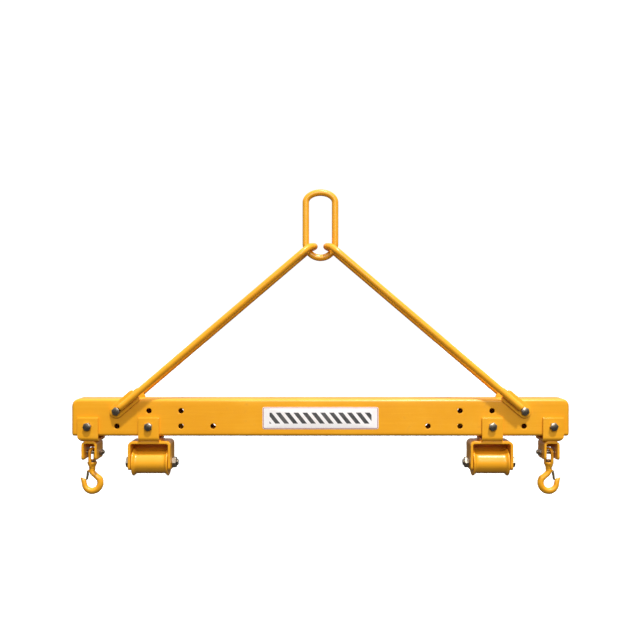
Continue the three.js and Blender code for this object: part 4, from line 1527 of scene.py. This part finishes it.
class SPREADER_OT_stage(bpy.types.Operator):
    """Set up the floor, the studio light and the camera"""

    bl_idname = "spreader.stage"
    bl_label = "Stage"

    def execute(self, context):
        stage = context.scene.spreader.stage
        self.floor(stage)
        self.lights(stage)
        self.world(stage)
        camera = bpy.data.cameras.new("camera")
        camera.lens = stage.lens
        camera.sensor_width = 36
        viewer = bpy.data.objects.new("camera", camera)
        viewer.location = (
            stage.camera_side, -stage.camera_distance, stage.camera_height + UNDERSIDE
        )
        viewer.rotation_euler = aim((0, 1, 0))
        context.scene.collection.objects.link(viewer)
        context.scene.camera = viewer
        context.scene.view_settings.view_transform = "Standard"
        return {"FINISHED"}

    def floor(self, stage):
        """A wide round floor below the hooks: rings whose radius grows as the square."""
        radius = 60 * np.linspace(0.02, 1, 24) ** 2
        rings = lathe(np.column_stack([radius, 0 * radius]), 72)
        skin = Skin()
        numbers = skin.add_points(rings + np.array([0, 0, CAD_BOX[0].z - stage.floor_drop]))
        skin.add_faces(np.column_stack([numbers, numbers[:, :1]]))
        skin.add_cap(numbers[0], (0, 0, CAD_BOX[0].z - stage.floor_drop))
        mesh = bpy.data.meshes.new("floor")
        mesh.from_pydata(np.concatenate(skin.points).tolist(), [], skin.faces)
        floor = bpy.data.objects.new("floor", mesh)
        bpy.context.scene.collection.objects.link(floor)
        material, tree, shader = new_material("studio_floor")
        looks = bpy.context.scene.spreader.finish
        where = node(tree, "ShaderNodeTexCoord").outputs["Object"]
        cloud = noise(tree, where, 1.2, 3.0)
        tone = blended(tree, spread(tree, cloud, 0.3, 0.7, 0.0, 0.5), solid(looks.floor),
                       solid([0.98 * c for c in looks.floor]))
        tree.links.new(tone, shader.inputs["Base Color"])
        shader.inputs["Roughness"].default_value = 0.9
        mesh.materials.append(material)
        floor.visible_diffuse = False
        floor.visible_glossy = False

    def lights(self, stage):
        """A key light from above, in front and to the right, a wide one overhead and a fill."""
        key = bpy.data.lights.new("key_light", "SUN")
        key.energy, key.angle = stage.key, stage.key_spread
        lamp = bpy.data.objects.new("key_light", key)
        bpy.context.scene.collection.objects.link(lamp)
        lamp.rotation_euler = aim(KEY_HEADING)
        area_light("top_light", *TOP_LIGHT, stage.top_power)
        area_light("front_light", *FRONT_LIGHT, stage.front_power)

    def world(self, stage):
        """Pale all round for the camera. As light it is bright above and dim below, and dark
        in front, where the room behind the camera is."""
        world = bpy.data.worlds.new("studio")
        bpy.context.scene.world = world
        world.use_nodes = True
        tree = world.node_tree
        tree.nodes.clear()
        where = node(tree, "ShaderNodeTexCoord").outputs["Generated"]
        axes = node(tree, "ShaderNodeSeparateXYZ", {0: where}).outputs
        above = spread(tree, axes["Z"], -0.1, 0.6, 0.18 * stage.sky, 1.5 * stage.sky)
        room = spread(tree, axes["Y"], -0.9, -0.2, 0.6, 1.0)
        strength = calc(tree, "MULTIPLY", above, room)
        glow = node(tree, "ShaderNodeBackground",
                    {"Color": (1, 0.985, 0.96, 1), "Strength": strength})
        plain = node(tree, "ShaderNodeBackground", {"Color": (1, 1, 1, 1), "Strength": 1.05})
        seen = node(tree, "ShaderNodeLightPath").outputs["Is Camera Ray"]
        both = node(tree, "ShaderNodeMixShader",
                    {0: seen, 1: glow.outputs[0], 2: plain.outputs[0]})
        out = tree.nodes.new("ShaderNodeOutputWorld")
        tree.links.new(both.outputs[0], out.inputs["Surface"])


# ---- Panel and registration ----

STEPS = (
    SPREADER_OT_beam, SPREADER_OT_label, SPREADER_OT_saddles, SPREADER_OT_forks,
    SPREADER_OT_welds, SPREADER_OT_fasteners, SPREADER_OT_sleeves, SPREADER_OT_rollers,
    SPREADER_OT_arms, SPREADER_OT_master_link, SPREADER_OT_bails, SPREADER_OT_hooks,
    SPREADER_OT_latches, SPREADER_OT_stage,
)
GROUPS = (
    BeamSizes, SaddleSizes, ForkSizes, BoltSizes, RollerSizes, ArmSizes, HookSizes, Finishes,
    StageSettings, SpreaderSettings,
)


class SPREADER_PT_panel(bpy.types.Panel):
    """Lists the pieces and their sizes"""

    bl_idname = "SPREADER_PT_panel"
    bl_label = "Spreader Beam"
    bl_space_type = "VIEW_3D"
    bl_region_type = "UI"
    bl_category = "Spreader"

    def draw(self, context):
        layout = self.layout
        for step in STEPS:
            layout.operator(step.bl_idname, text=step.bl_label)
        settings = context.scene.spreader
        for group_name in settings.bl_rna.properties.keys():
            group = getattr(settings, group_name)
            if not isinstance(group, bpy.types.PropertyGroup):
                continue
            box = layout.box()
            box.label(text=group_name.replace("_", " ").capitalize())
            for key in group.bl_rna.properties.keys():
                if key not in {"rna_type", "name"}:
                    box.prop(group, key)


def register():
    """Registers the classes and the scene's settings."""
    for group in (*GROUPS, *STEPS, SPREADER_PT_panel):
        bpy.utils.register_class(group)
    bpy.types.Scene.spreader = bpy.props.PointerProperty(type=SpreaderSettings)


def unregister():
    """Takes the settings and the classes away again."""
    del bpy.types.Scene.spreader
    for group in reversed((*GROUPS, *STEPS, SPREADER_PT_panel)):
        bpy.utils.unregister_class(group)


def main():
    """Builds every piece and the stage."""
    register()
    for item in list(bpy.context.scene.collection.all_objects):
        if item.type in {"CAMERA", "LIGHT"} or item.name == "Cube":
            bpy.data.objects.remove(item)
    settings = bpy.context.scene.spreader
    set_bolt(settings.hook_bolt, 8 * MM, 24 * MM, 10 * MM, 13 * MM, 2 * MM)
    set_bolt(settings.axle_bolt, 13 * MM, 40 * MM, 16 * MM, 18 * MM, 3 * MM)
    for step in STEPS:
        group, name = step.bl_idname.split(".")
        getattr(getattr(bpy.ops, group), name)()


if __name__ == "__main__":
    main()
